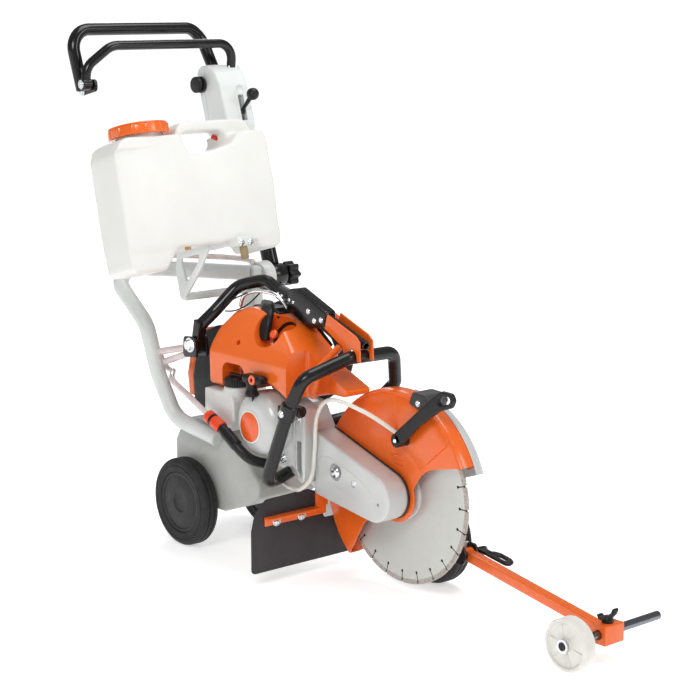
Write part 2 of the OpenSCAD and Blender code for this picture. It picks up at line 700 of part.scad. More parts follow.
module hose_coupling() color("orangered") {
    sweep([[131, -170, 297], [178, -170, 279]], 13, 16);
    sweep(smooth([[178, -170, 279], [218, -170, 254], [246, -154, 228], [262, -116, 214]], 5), 10,
        12, [0.2, 1, 0.8]);
}

guard_hose_route = [[280, -112, 190], [308, -113, 179.5], [342, -112, 180.5], [357, -95, 206],
    [358, -88, 255], [376, -96, 330], [420, -98, 366], [474, -62, 346], [522, -28, 311]];
module guard_hose() color("white") sweep(smooth(guard_hose_route, 3), 4, 8, [0.5, 0.8, 0.2]);

cable_route = [[43, 26, 520], [90, 2, 526], [150, -6, 526], [210, -8, 524], [244, 0, 514],
    [256, 5, 507]];
module throttle_cable() color("#111111") sweep(smooth(cable_route, 3), 2.5, 8);

flap_x = 322;
module spray_flap() color("#222222") translate([flap_x, 0, 0]) rotate([90, 0, 90])
    linear_extrude(4) polygon([[-215, 28], [40, 28], [40, 108], [-40, 108], [-40, 158],
        [-77, 172], [-180, 169], [-215, 130]]);

module flap_bracket() color("darkorange") {
    block([flap_x + 4, -186, 118], [flap_x + 8, -36, 136]);
    block([flap_x + 8, -186, 132], [flap_x + 24, -60, 136]);
    block([flap_x + 4, -62, 136], [flap_x + 8, -32, 169]);
    for (y = [-159, -98]) translate([flap_x + 8, y, 125]) rotate([0, 90, 0]) {
        cylinder(r = 7, h = 3);
        cylinder(d = 13 / cos(30), h = 9, $fn = 6);
    }
}

placed() pan();
placed() cart_frame();
placed() hub_post();
placed() rear_axle();
placed() tank_bracket();
placed() hinge_bracket();
placed() rear_tyre_right();
placed() rear_hub_right();
placed() rear_tyre_left();
placed() rear_hub_left();
placed() front_carrier();
placed() front_axle();
placed() front_tyre();
placed() front_hub();
placed() guide_arm();
placed() guide_roller();
placed() guide_rod();
placed() wing_bolt();
placed() pedal();
placed() column_tube();
placed() console();
placed() handlebar();
placed() bail();
placed() star_knob();
placed() side_knob();
placed() throttle_lever();
placed() water_tank();
placed() tank_cap();
placed() swing_arm();
placed() clamp_channel();
placed() clamp_lever();
placed() engine_cover();
placed() rear_handle();
placed() throttle_trigger();
placed() throttle_lock();
placed() fuel_tank();
placed() fuel_cap();
placed() starter_housing();
placed() starter_grip();
placed() crankcase();
placed() { cylinder_fins(); muffler(); }  // cylinder
placed() air_filter();
placed() crankshaft();
placed() front_handle();
placed() av_springs();
placed() bearer_arm();
placed() belt_cover();
placed() drive_belt();
placed() spindle();
placed() blade_flanges();
placed() blade();
placed() guard();
placed() guard_panel();
placed() guard_lever();
placed() water_hose();
placed() hose_coupling();
placed() guard_hose();
placed() throttle_cable();
placed() spray_flap();
placed() flap_bracket();
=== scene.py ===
"""Walk-behind concrete saw: the looks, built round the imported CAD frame.

Sizes below are millimetres in the machine's own axes: x forward from the rear axle, y to the
left from the blade's plane, z up from the floor. The frame's rear hub and blade place them.
"""

import math

import bmesh
import bpy
from mathutils import Matrix, Vector


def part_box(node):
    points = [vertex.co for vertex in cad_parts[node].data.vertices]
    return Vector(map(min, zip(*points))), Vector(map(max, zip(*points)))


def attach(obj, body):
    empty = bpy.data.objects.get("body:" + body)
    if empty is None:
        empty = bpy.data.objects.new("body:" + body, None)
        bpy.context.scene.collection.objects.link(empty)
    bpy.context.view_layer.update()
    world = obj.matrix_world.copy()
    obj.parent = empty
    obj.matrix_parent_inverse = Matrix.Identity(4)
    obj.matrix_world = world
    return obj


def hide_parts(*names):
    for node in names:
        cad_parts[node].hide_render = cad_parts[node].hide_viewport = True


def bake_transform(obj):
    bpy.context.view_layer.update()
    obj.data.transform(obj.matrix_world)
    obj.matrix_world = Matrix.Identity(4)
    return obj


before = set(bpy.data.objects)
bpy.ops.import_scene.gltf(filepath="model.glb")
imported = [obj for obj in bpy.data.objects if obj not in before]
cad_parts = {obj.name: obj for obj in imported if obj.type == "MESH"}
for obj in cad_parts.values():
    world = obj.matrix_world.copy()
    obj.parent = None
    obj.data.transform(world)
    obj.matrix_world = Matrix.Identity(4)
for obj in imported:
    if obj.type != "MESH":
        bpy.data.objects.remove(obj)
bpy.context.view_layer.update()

MM = 0.001


def middle(node):
    low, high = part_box(node)
    return (low + high) / 2


ORIGIN = Vector((middle("rear_hub_right").x, middle("blade").y, 0))
BLADE = (middle("blade") - ORIGIN) / MM
FRONT_X = (middle("front_tyre") - ORIGIN).x / MM
WHEEL_R = (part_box("rear_tyre_right")[1].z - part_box("rear_tyre_right")[0].z) / MM / 2
X = Vector((1, 0, 0))
Y = Vector((0, 1, 0))
Z = Vector((0, 0, 1))
BLADE_HUB = (BLADE.x, BLADE.z)

# ---- camera and lights ----


def at(x, y, z):
    return ORIGIN + Vector((x, y, z)) * MM


def add_object(name, data, place=(0, 0, 0), looking=None):
    """Object in the scene, turned to look along a direction where one is given."""
    obj = bpy.data.objects.new(name, data)
    bpy.context.collection.objects.link(obj)
    obj.location = place
    if looking is not None:
        obj.rotation_mode = "QUATERNION"
        obj.rotation_quaternion = looking.to_track_quat("-Z", "Y")
    return obj


camera_data = bpy.data.cameras.new("camera")
camera_data.sensor_width = 36
camera_data.lens = 94.3
camera_data.clip_end = 2000
VIEW = Vector((-0.74457, 0.64003, -0.18968))
camera = add_object("camera", camera_data, at(2962.2, -2238.1, 1102.3), VIEW)
bpy.context.scene.camera = camera
bpy.context.scene.view_settings.view_transform = "Standard"


def area_light(name, place, target, size, power):
    data = bpy.data.lights.new(name, "AREA")
    data.shape = "RECTANGLE"
    data.size, data.size_y = size
    data.energy = power
    add_object(name, data, place, Vector(target) - Vector(place))


area_light("key", (1.6, -2.6, 2.6), (0, 0, 0.4), (1.4, 1.0), 50)
area_light("fill", (3.2, 1.8, 2.2), (0, 0, 0.4), (1.0, 1.4), 24)
area_light("top", (0.2, 0.6, 3.4), (0, 0, 0.4), (2.0, 2.0), 52)
area_light("back", (-2.8, 1.6, 2.0), (0, 0, 0.6), (1.4, 1.4), 20)

world = bpy.data.worlds.new("studio")
world.use_nodes = True
for socket, value in (("Color", (1, 1, 1, 1)), ("Strength", 0.3)):
    world.node_tree.nodes["Background"].inputs[socket].default_value = value
bpy.context.scene.world = world

# ---- materials ----

LOOKS = {}


def new_look(name):
    material = bpy.data.materials.new(name)
    material.use_nodes = True
    LOOKS[name] = material
    tree = material.node_tree
    return tree, tree.nodes["Principled BSDF"]


def set_values(node, values):
    for socket, value in values.items():
        node.inputs[socket].default_value = value


def noise(tree, size_mm, detail=3.0, stretch=None):
    """Noise whose blotches are about size_mm across, in the object's own metres."""
    where = tree.nodes.new("ShaderNodeTexCoord").outputs["Object"]
    if stretch:
        mapping = tree.nodes.new("ShaderNodeMapping")
        set_values(mapping, {"Scale": stretch})
        tree.links.new(where, mapping.inputs["Vector"])
        where = mapping.outputs["Vector"]
    texture = tree.nodes.new("ShaderNodeTexNoise")
    set_values(texture, {"Scale": 1 / (size_mm * MM), "Detail": detail})
    tree.links.new(where, texture.inputs["Vector"])
    return texture.outputs["Fac"]


def spread(tree, source, low, high, start=0.3, stop=0.7):
    scale = tree.nodes.new("ShaderNodeMapRange")
    set_values(scale, {"From Min": start, "From Max": stop, "To Min": low, "To Max": high})
    tree.links.new(source, scale.inputs["Value"])
    return scale.outputs["Result"]


def two_tone(tree, factor, first, second):
    mix = tree.nodes.new("ShaderNodeMix")
    mix.data_type = "RGBA"
    tree.links.new(factor, mix.inputs["Factor"])
    mix.inputs["A"].default_value = (*first, 1)
    mix.inputs["B"].default_value = (*second, 1)
    return mix.outputs["Result"]


def add_bump(tree, shader, source, strength, depth_mm):
    bump = tree.nodes.new("ShaderNodeBump")
    set_values(bump, {"Strength": strength, "Distance": depth_mm * MM})
    tree.links.new(source, bump.inputs["Height"])
    tree.links.new(bump.outputs["Normal"], shader.inputs["Normal"])


def finish(name, colour, rough, metal=0.0, mottle=0.05, mottle_mm=40, grain_mm=0.9, grain=0.04,
           coat=0.0, depth=0.0, stretch=None, sheen=0.0, gloss=0.5):
    """A procedural finish: mottled colour, uneven roughness, fine surface grain."""
    tree, shader = new_look(name)
    set_values(shader, {"Metallic": metal, "Specular IOR Level": gloss, "Coat Weight": coat,
                        "Coat Roughness": 0.08, "Sheen Weight": sheen, "Subsurface Weight": depth,
                        "Subsurface Radius": (0.02, 0.018, 0.015)})
    darker = tuple(c * (1 - mottle) for c in colour)
    lighter = tuple(min(1, c * (1 + mottle)) for c in colour)
    patches = noise(tree, mottle_mm, stretch=stretch)
    shade = two_tone(tree, spread(tree, patches, 0, 1), darker, lighter)
    tree.links.new(shade, shader.inputs["Base Color"])
    smears = noise(tree, mottle_mm / 4, stretch=stretch)
    uneven = spread(tree, smears, rough * 0.85, min(1, rough * 1.18))
    tree.links.new(uneven, shader.inputs["Roughness"])
    add_bump(tree, shader, noise(tree, grain_mm, 2.0, stretch), 0.6, grain)
    return tree, shader


def ground_steel(name):
    """Blade core: fine circular grinding lines round the blade's own centre."""
    tree, shader = new_look(name)
    set_values(shader, {"Metallic": 0.55})
    where = tree.nodes.new("ShaderNodeTexCoord").outputs["Object"]
    away = tree.nodes.new("ShaderNodeVectorMath")
    away.operation = "DISTANCE"
    away.inputs[1].default_value = middle("blade")
    tree.links.new(where, away.inputs[0])
    rings = tree.nodes.new("ShaderNodeTexNoise")
    rings.noise_dimensions = "1D"
    set_values(rings, {"Scale": 1400, "Detail": 2})
    tree.links.new(away.outputs["Value"], rings.inputs["W"])
    shade = two_tone(tree, spread(tree, rings.outputs["Fac"], 0, 1), (0.56, 0.57, 0.54),
                     (0.66, 0.67, 0.64))
    tree.links.new(shade, shader.inputs["Base Color"])
    tree.links.new(spread(tree, noise(tree, 30), 0.42, 0.55), shader.inputs["Roughness"])
    add_bump(tree, shader, rings.outputs["Fac"], 0.25, 0.02)


finish("pale_paint", (0.66, 0.68, 0.66), 0.38, mottle=0.03, coat=0.2)
finish("pan_paint", (0.47, 0.48, 0.45), 0.5, mottle=0.06, grain_mm=2.2, grain=0.12)
finish("steel", (0.62, 0.63, 0.65), 0.26, metal=1.0, mottle=0.06, mottle_mm=12)
finish("black_paint", (0.005, 0.005, 0.006), 0.19, mottle=0.15, grain=0.01, gloss=0.45)
finish("tyre", (0.026, 0.025, 0.026), 0.62, mottle=0.25, mottle_mm=18, grain=0.12, gloss=0.3)
finish("hub_plastic", (0.028, 0.027, 0.028), 0.5, mottle=0.12, grain=0.08, gloss=0.3)
finish("orange_paint", (0.82, 0.132, 0.012), 0.24, mottle=0.015, coat=0.15, grain_mm=3, grain=0.012)
finish("orange_plastic", (0.82, 0.138, 0.012), 0.2, mottle=0.015, coat=0.25, grain_mm=4,
       grain=0.012)
finish("red_plastic", (0.78, 0.06, 0.01), 0.34, mottle=0.06)
finish("roller_nylon", (0.74, 0.73, 0.68), 0.45, mottle=0.05, mottle_mm=15, depth=0.2)
finish("black_plastic", (0.010, 0.010, 0.011), 0.36, mottle=0.2, grain=0.06, gloss=0.3)
finish("grey_plastic", (0.70, 0.73, 0.715), 0.45, mottle=0.03, grain=0.05)
finish("tank_plastic", (0.76, 0.76, 0.73), 0.42, mottle=0.03, mottle_mm=90, grain=0.06, depth=0.35)
finish("fuel_plastic", (0.64, 0.64, 0.62), 0.4, mottle=0.04, depth=0.3)
finish("grip_rubber", (0.009, 0.009, 0.010), 0.24, mottle=0.15, grain=0.03, gloss=0.4)
finish("cast_alloy", (0.62, 0.63, 0.62), 0.36, metal=0.35, mottle=0.05, mottle_mm=20, grain_mm=1.6,
       grain=0.1)
finish("white_cover", (0.60, 0.61, 0.60), 0.34, metal=0.1, mottle=0.03, coat=0.3)
ground_steel("blade_steel")
finish("filter_felt", (0.45, 0.36, 0.18), 0.9, mottle=0.15, grain_mm=2, grain=0.6, sheen=0.3)
finish("clear_hose", (0.70, 0.60, 0.60), 0.16, mottle=0.12, mottle_mm=25, depth=0.4, coat=0.5)
finish("white_hose", (0.72, 0.71, 0.64), 0.4, mottle=0.05, depth=0.2)
finish("black_rubber", (0.038, 0.035, 0.038), 0.58, mottle=0.15, mottle_mm=60, grain_mm=1.4,
       grain=0.08, gloss=0.3)
finish("segment", (0.46, 0.42, 0.38), 0.6, metal=0.4, mottle=0.25, mottle_mm=4, grain_mm=0.8,
       grain=0.2)
finish("zinc", (0.72, 0.73, 0.75), 0.2, metal=1.0, mottle=0.08, mottle_mm=6)
finish("dark_steel", (0.20, 0.21, 0.23), 0.2, metal=1.0, mottle=0.06, mottle_mm=10)
finish("chrome", (0.80, 0.81, 0.83), 0.09, metal=1.0, mottle=0.03)
finish("badge", (0.85, 0.11, 0.01), 0.3, mottle=0.03, mottle_mm=10, coat=0.5)
finish("badge_rim", (0.80, 0.84, 0.82), 0.3, mottle=0.04, coat=0.4)
finish("gasket", (0.02, 0.02, 0.02), 0.6, mottle=0.3, mottle_mm=8)
finish("khaki", (0.28, 0.21, 0.10), 0.5, mottle=0.15, mottle_mm=10)
finish("brass", (0.55, 0.33, 0.12), 0.3, metal=0.9, mottle=0.12, mottle_mm=6)
finish("panel_grey", (0.56, 0.58, 0.58), 0.4, mottle=0.04, coat=0.2)
finish("plate_grey", (0.60, 0.63, 0.61), 0.4, mottle=0.04, coat=0.2)
finish("valve_red", (0.70, 0.02, 0.01), 0.3, mottle=0.05, mottle_mm=6)
finish("dark_band", (0.02, 0.023, 0.025), 0.5, mottle=0.15, grain=0.1, gloss=0.3)
finish("grip_grey", (0.035, 0.034, 0.034), 0.5, mottle=0.1, grain=0.1)
# Near-black used only as painted shade inside the blade's slots.
finish("painted_shade_black", (0.01, 0.01, 0.01), 0.7, mottle=0.3)

# ---- mesh helpers ----


def arc(centre, radius, start, stop, count):
    """Points on a circle, from start to stop in degrees."""
    turns = [math.radians(start + (stop - start) * k / count) for k in range(count + 1)]
    return [(centre[0] + radius * math.cos(t), centre[1] + radius * math.sin(t)) for t in turns]


def circle(centre, radius, count=32):
    return arc(centre, radius, 0, 360, count)[:-1]


def round_corner(a, b, c, radius, count):
    """Arc of that radius, or the largest that fits, in the corner b of a-b-c."""
    a, b, c = Vector(a), Vector(b), Vector(c)
    u, w = a - b, c - b
    half = u.angle(w) / 2
    if half > math.radians(89):
        return [b]
    back = min(radius / math.tan(half), u.length * 0.48, w.length * 0.48)
    radius = back * math.tan(half)
    u.normalize()
    w.normalize()
    hub = b + (u + w).normalized() * (radius / math.sin(half))
    start, stop = b + u * back - hub, b + w * back - hub
    return [hub + start.lerp(stop, k / count).normalized() * radius for k in range(count + 1)]


def rounded(points, radius, count=6):
    """Closed outline with every corner rounded."""
    size = len(points)
    return [tuple(p) for i in range(size)
            for p in round_corner(points[i - 1], points[i], points[(i + 1) % size], radius, count)]


def rounded_box(x0, z0, x1, z1, radius, count=6):
    return rounded([(x0, z0), (x1, z0), (x1, z1), (x0, z1)], radius, count)


def wavy(centre, count, reach):
    """Closed outline whose radius is a function of the angle."""
    turns = [2 * math.pi * k / count for k in range(count)]
    return [(centre[0] + reach(t) * math.cos(t), centre[1] + reach(t) * math.sin(t)) for t in turns]


def bent(points, radius, count=8):
    """Open line with every inner corner rounded."""
    points = [Vector(p) for p in points]
    inner = [p for i in range(1, len(points) - 1)
             for p in round_corner(points[i - 1], points[i], points[i + 1], radius, count)]
    return [points[0], *inner, points[-1]]


def smooth(points, count=8):
    """Catmull-Rom curve through the points."""
    points = [Vector(p) for p in points]
    last = len(points) - 1
    out = []
    for i in range(last):
        a, b, c, d = points[max(i - 1, 0)], points[i], points[i + 1], points[min(i + 2, last)]
        for k in range(count):
            t = k / count
            out.append(0.5 * (2 * b + (c - a) * t + (2 * a - 5 * b + 4 * c - d) * t * t
                              + (3 * b - a - 3 * c + d) * t ** 3))
    return [*out, points[-1]]


def mesh_object(name, points, faces, place=None, crease=35):
    """Mesh from points in millimetres, shaded smooth below the crease angle."""
    mesh = bpy.data.meshes.new(name)
    place = place or Matrix.Identity(4)
    mesh.from_pydata([at(*(place @ Vector(p))) for p in points], [], faces)
    tidy = bmesh.new()
    tidy.from_mesh(mesh)
    bmesh.ops.remove_doubles(tidy, verts=tidy.verts, dist=1e-6)
    bmesh.ops.recalc_face_normals(tidy, faces=tidy.faces)
    tidy.to_mesh(mesh)
    tidy.free()
    obj = add_object(name, mesh)
    shade(obj, crease)
    return obj


def shade(obj, crease=35):
    """Smooth shading, with edges sharper than the crease angle left sharp."""
    obj.data.shade_smooth()
    obj.data.set_sharp_from_angle(angle=math.radians(crease))


def skin(rings, closed=True, capped=True):
    """Faces joining rings of equal size, numbered one ring after another."""
    size = len(rings[0])
    around = size if closed else size - 1
    faces = []
    for i in range(len(rings) - 1):
        for k in range(around):
            a, b = i * size + k, i * size + (k + 1) % size
            faces.append((a, b, b + size, a + size))
    if capped:
        faces.append(tuple(range(size)))
        faces.append(tuple((len(rings) - 1) * size + k for k in reversed(range(size))))
    return [p for ring in rings for p in ring], faces


def tube(name, path, radius, sides=24, edge=1.0, place=None, bore=None):
    """Round bar or hose along a path; radius may be one number or one for each point."""
    path = [Vector(p) for p in path]
    radii = [radius] * len(path) if isinstance(radius, (int, float)) else list(radius)
    first = (path[1] - path[0]).normalized()
    last = (path[-1] - path[-2]).normalized()
    path = [path[0], path[0] + first * edge, *path[1:-1], path[-1] - last * edge, path[-1]]
    radii = [radii[0] - edge, radii[0], *radii[1:-1], radii[-1], radii[-1] - edge]
    if bore:
        path += [path[-1], path[-1] - last * bore[1]]
        radii += [bore[0], bore[0]]
    rings = []
    side = None
    for i, point in enumerate(path):
        near, far = path[max(i - 1, 0)], path[min(i + 1, len(path) - 1)]
        along = (far - near)
        along = last if along.length < 1e-6 or (bore and i >= len(path) - 3) else along.normalized()
        if side is None:
            side = along.orthogonal().normalized()
        side = (side - along * side.dot(along)).normalized()
        other = along.cross(side)
        rings.append([point + (side * math.cos(t) + other * math.sin(t)) * radii[i]
                      for t in (2 * math.pi * k / sides for k in range(sides))])
    return mesh_object(name, *skin(rings), place)


def basis(axis):
    """Two directions square to an axis: forward and up for one that runs across the machine."""
    axis = Vector(axis).normalized()
    if abs(axis.y) > 0.9:
        return axis, X, Z
    first = (X - axis * axis.x) if abs(axis.x) < 0.9 else (Y - axis * axis.y)
    first.normalize()
    return axis, first, axis.cross(first)


def lathe(name, profile, centre, axis=(0, 1, 0), sides=72, start=0, sweep=360, place=None,
          crease=35):
    """Closed outline of (radius, distance along the axis) turned round the axis."""
    axis, u, w = basis(axis)
    full = sweep == 360
    count = sides if full else sides + 1
    rings = []
    for k in range(count):
        t = math.radians(start + sweep * k / sides)
        out = u * math.cos(t) + w * math.sin(t)
        rings.append([Vector(centre) + out * r + axis * h for r, h in profile])
    points, faces = skin(rings, capped=not full)
    if full:
        size = len(profile)
        base = (count - 1) * size
        for k in range(size):
            faces.append((base + k, base + (k + 1) % size, (k + 1) % size, k))
    obj = mesh_object(name, points, faces, place, crease)
    drop_flat_faces(obj)
    shade(obj, crease)
    return obj


def drop_flat_faces(obj):
    """Removes faces with no area, such as those between two points on a lathe's axis."""
    tidy = bmesh.new()
    tidy.from_mesh(obj.data)
    bmesh.ops.dissolve_degenerate(tidy, dist=1e-7, edges=tidy.edges)
    tidy.to_mesh(obj.data)
    tidy.free()


def area_of(loop):
    return sum(a[0] * b[1] - b[0] * a[1] for a, b in zip(loop, [*loop[1:], loop[0]])) / 2


def inset(loop, distance):
    """Outline moved to its left by a distance: inwards where it runs anticlockwise."""
    out = []
    for i, b in enumerate(loop):
        a, c = loop[i - 1], loop[(i + 1) % len(loop)]
        u = Vector((b[0] - a[0], b[1] - a[1])).normalized()
        v = Vector((c[0] - b[0], c[1] - b[1])).normalized()
        push = Vector((-u.y - v.y, u.x + v.x)) / max(0.35, 1 + u.dot(v))
        out.append((b[0] + push.x * distance, b[1] + push.y * distance))
    return out


def plate(name, outline, low, high, edge=1.0, holes=(), place=None, steps=3, along="y", crease=35):
    """Outline standing between two planes, with holes and rounded edges.

    The outline is (x, z) where it stands along y, (x, y) along z, and (y, z) along x.
    """
    spot = {"y": lambda p, h: Vector((p[0], h, p[1])), "z": lambda p, h: Vector((p[0], p[1], h)),
            "x": lambda p, h: Vector((h, p[0], p[1]))}[along]
    loops = [outline if area_of(outline) > 0 else outline[::-1]]
    loops += [hole if area_of(hole) < 0 else hole[::-1] for hole in holes]
    edge = min(edge, (high - low) / 2 - 0.01)
    levels = [(edge * (1 - math.cos(t)), edge * (1 - math.sin(t)))
              for t in (math.pi / 2 * k / steps for k in range(steps + 1))]
    rings = [(low + height, back) for back, height in reversed(levels)]
    rings += [(high - height, back) for back, height in levels]
    mesh = bmesh.new()
    ends = ([], [])
    for loop in loops:
        rows = []
        for height, back in rings:
            moved = inset(loop, back) if back else loop
            rows.append([mesh.verts.new(spot(p, height)) for p in moved])
        for lower, upper in zip(rows, rows[1:]):
            for k in range(len(loop)):
                n = (k + 1) % len(loop)
                mesh.faces.new((lower[k], lower[n], upper[n], upper[k]))
        for end, row in zip(ends, (rows[0], rows[-1])):
            end.extend(mesh.edges.get((row[k], row[(k + 1) % len(row)])) for k in range(len(row)))
    for end in ends:
        bmesh.ops.triangle_fill(mesh, edges=end, use_beauty=True, use_dissolve=False)
    mesh.verts.index_update()
    points = [v.co.copy() for v in mesh.verts]
    faces = [tuple(v.index for v in f.verts) for f in mesh.faces]
    mesh.free()
    return mesh_object(name, points, faces, place, crease)


def brick(name, low, high, edge=1.5, place=None):
    (x0, y0, z0), (x1, y1, z1) = low, high
    corner = min(edge * 1.2, (x1 - x0) / 2.1, (z1 - z0) / 2.1)
    outline = rounded_box(x0, z0, x1, z1, corner, 4)
    return plate(name, outline, y0, y1, edge, place=place)


def join(name, objs):
    """One object from several, keeping their materials."""
    mesh = bmesh.new()
    slots = []
    for obj in objs:
        before = len(mesh.faces)
        mesh.from_mesh(obj.data)
        mesh.faces.ensure_lookup_table()
        own = list(obj.data.materials) or [None]
        for material in own:
            if material not in slots:
                slots.append(material)
        for face in mesh.faces[before:]:
            face.material_index = slots.index(own[min(face.material_index, len(own) - 1)])
    data = bpy.data.meshes.new(name)
    mesh.to_mesh(data)
    mesh.free()
    if slots != [None]:
        for material in slots:
            data.materials.append(material)
    for obj in objs:
        bpy.data.objects.remove(obj)
    return add_object(name, data)


def bake_modifiers(obj):
    ready = obj.evaluated_get(bpy.context.evaluated_depsgraph_get())
    old = obj.data
    obj.data = bpy.data.meshes.new_from_object(ready)
    obj.modifiers.clear()
    bpy.data.meshes.remove(old)


def moulded(name, objs, voxel, rounds):
    """Overlapping solids melted into one moulded shape with soft edges."""
    obj = join(name, objs)
    remesh = obj.modifiers.new("remesh", "REMESH")
    remesh.mode = "VOXEL"
    remesh.voxel_size = voxel * MM
    soften = obj.modifiers.new("soften", "SMOOTH")
    soften.factor = 0.5
    soften.iterations = rounds
    bake_modifiers(obj)
    shade(obj, 60)
    return obj


def cut(obj, tools, crease=40):
    """Takes the tool solids out of an object."""
    for tool in tools:
        carve = obj.modifiers.new("carve", "BOOLEAN")
        carve.operation = "DIFFERENCE"
        carve.solver = "EXACT"
        carve.object = tool
    bake_modifiers(obj)
    for tool in tools:
        bpy.data.objects.remove(tool)
    shade(obj, crease)
    return obj


def coloured(obj, look):
    """The object with one finish over all of it."""
    obj.data.materials.clear()
    obj.data.materials.append(LOOKS[look])
    return obj


def fit(obj, body, slot, *replaced, look=None):
    """Puts a piece on its body, with its finish and the CAD nodes it stands for.

    A piece with no finish of its own takes the look, or the one that its slot is named after.
    """
    if look or not obj.data.materials or obj.data.materials[0] is None:
        coloured(obj, look or slot)
    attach(obj, body)
    if replaced:
        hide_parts(*replaced)
    return obj


def piece(name, parts, body, slot, *replaced, look=None):
    """Joins the parts into one piece and fits it."""
    return fit(join(name, parts), body, slot, *replaced, look=look)


def peg(name, radius, length, centre, *where, **more):
    """Plain turned bar, or a solid to cut a round hole with."""
    profile = [(0, 0), (radius, 0), (radius, length), (0, length)]
    return lathe(name, profile, centre, *where, **more)


EYE_OUTLINE = [(5.1, 0), (11, 0), (12, 1), (12, 19), (11, 20), (5.1, 20)]


def screw(centre, axis, radius, height, sides=6, washer=0.0, look="zinc"):
    """Bolt head with a chamfered top, or a round socket head, on an optional washer."""
    chamfer = radius * 0.16
    socket = radius * 0.42
    parts = []
    if sides == 6:
        profile = [(0, 0), (radius, 0), (radius, height - chamfer), (radius - chamfer, height),
                   (0, height)]
        parts.append(lathe("head", profile, centre, axis, sides=6, crease=20))
    else:
        profile = [(0, 0), (radius, 0), (radius, height - chamfer), (radius - chamfer, height),
                   (socket, height), (socket, height * 0.4), (0, height * 0.4)]
        parts.append(lathe("head", profile, centre, axis, sides=28, crease=30))
    if washer:
        profile = [(radius * 0.5, 0), (washer, 0), (washer, 1.2), (washer - 0.5, 1.7),
                   (radius * 0.5, 1.7)]
        parts.append(lathe("washer", profile, centre, axis, sides=32))
    return coloured(join("screw", parts), look)


# ---- wheels ----

TYRE_OUTLINE = [(62.5, 3), (64, 1), (67, 0.4), (73.5, 0), (75, 1.5), (77.4, 1.7), (79, 0.4),
                (83.5, 1.1), (87, 3.2), (89.3, 6.6), (90, 9.5), (90, 12), (88.3, 12.6),
                (88.3, 14.4), (90, 15), (90, 23), (88.3, 23.6), (88.3, 25.4), (90, 26), (90, 28.5),
                (89.3, 31.4), (87, 34.8), (83.5, 36.9), (79, 37.6), (77.4, 36.3), (75, 36.5),
                (73.5, 38), (67, 37.6), (64, 37), (62.5, 35)]
HUB_OUTLINE = [(0, 5.6), (18, 5.4), (20.5, 4.6), (22, 3.4), (50, 3.2), (52, 4.2), (55, 4.4),
               (56.5, 2.8), (60.5, 2.2), (62.4, 3.2), (62.4, 34.8), (60, 35.4), (24, 35.4),
               (22, 37.6), (12, 37.6), (10.2, 36.5), (10.2, 8.4), (0, 8.4)]


def wheel(x, outer_y, inward, tyre_node, hub_node, body):
    axis = (0, inward, 0)
    centre = (x, outer_y, WHEEL_R)
    scale = WHEEL_R / 90
    tyre = lathe(tyre_node + "_look", [(r * scale, t) for r, t in TYRE_OUTLINE], centre, axis, 120)
    fit(tyre, body, "tyre", tyre_node)
    hub = lathe(hub_node + "_look", [(r * scale, t) for r, t in HUB_OUTLINE], centre, axis, 96)
    fit(hub, body, "hub_plastic", hub_node)


wheel(0, -152, 1, "rear_tyre_right", "rear_hub_right", "rear_wheel_right")
wheel(0, 100, -1, "rear_tyre_left", "rear_hub_left", "rear_wheel_left")
wheel(FRONT_X, 100, -1, "front_tyre", "front_hub", "front_wheel")

# ---- cart ----


def make_pan():
    side = [(-70, 82), (92, 82), (171, 110), (207, 132), (213, 155), (205, 172), (128, 248),
            (112, 258), (-20, 258), (-40, 252), (-70, 205)]
    hollow = [(-66, 40), (86, 40), (92, 87), (170, 115), (203, 136), (208, 154), (201, 169),
              (125, 243), (110, 254), (-19, 254), (-37, 248), (-66, 203)]
    shell = plate("pan_shell", rounded(side, 16, 6), -108, 50, 7, steps=5)
    cut(shell, [plate("pan_hollow", hollow, -104, 46, 0.5),
                lathe("pan_bore", [(0, -10), (10.2, -10), (10.2, 170), (0, 170)],
                      (0, -110, WHEEL_R), sides=32)])
    fit(shell, "root", "pan_paint", "pan")


FRAME_ROUTE = [(96, -122, 236), (-20, -142, 262), (-64, -152, 350), (-82, -165, 448),
               (-195, -182, 556), (-120, -70, 548), (26, 22, 548)]


def make_frame_tube():
    fit(tube("cart_tube", bent(FRAME_ROUTE, 60, 12), 16, 32, 2), "root", "pale_paint", "cart_frame")


def make_hub():
    post = plate("hub_plate", rounded([(8, 258), (52, 258), (52, 300), (40, 562), (0, 562),
                                       (8, 300)], 8), 14, 38, 3)
    cup = lathe("hub_cup", [(0, 0), (27, 0), (31, 2), (33, 6), (33, 27.5), (31.5, 28), (28, 28),
                            (27, 27), (27, 20), (0, 20)], (20, 38, 536), sides=64)
    piece("hub_post_look", [post, cup], "root", "pale_paint", "hub_post")
    pin = lathe("hub_pin", [(0, 0), (6, 0), (6, 82), (5, 83), (0, 83)], (20, 58, 536), sides=32)
    fit(pin, "root", "steel", look="zinc")


make_pan()
make_frame_tube()
make_hub()

TANK_PLACE = Matrix.Translation((125, -150, 612)) @ Matrix.Rotation(math.radians(-14.7), 4, "Y")


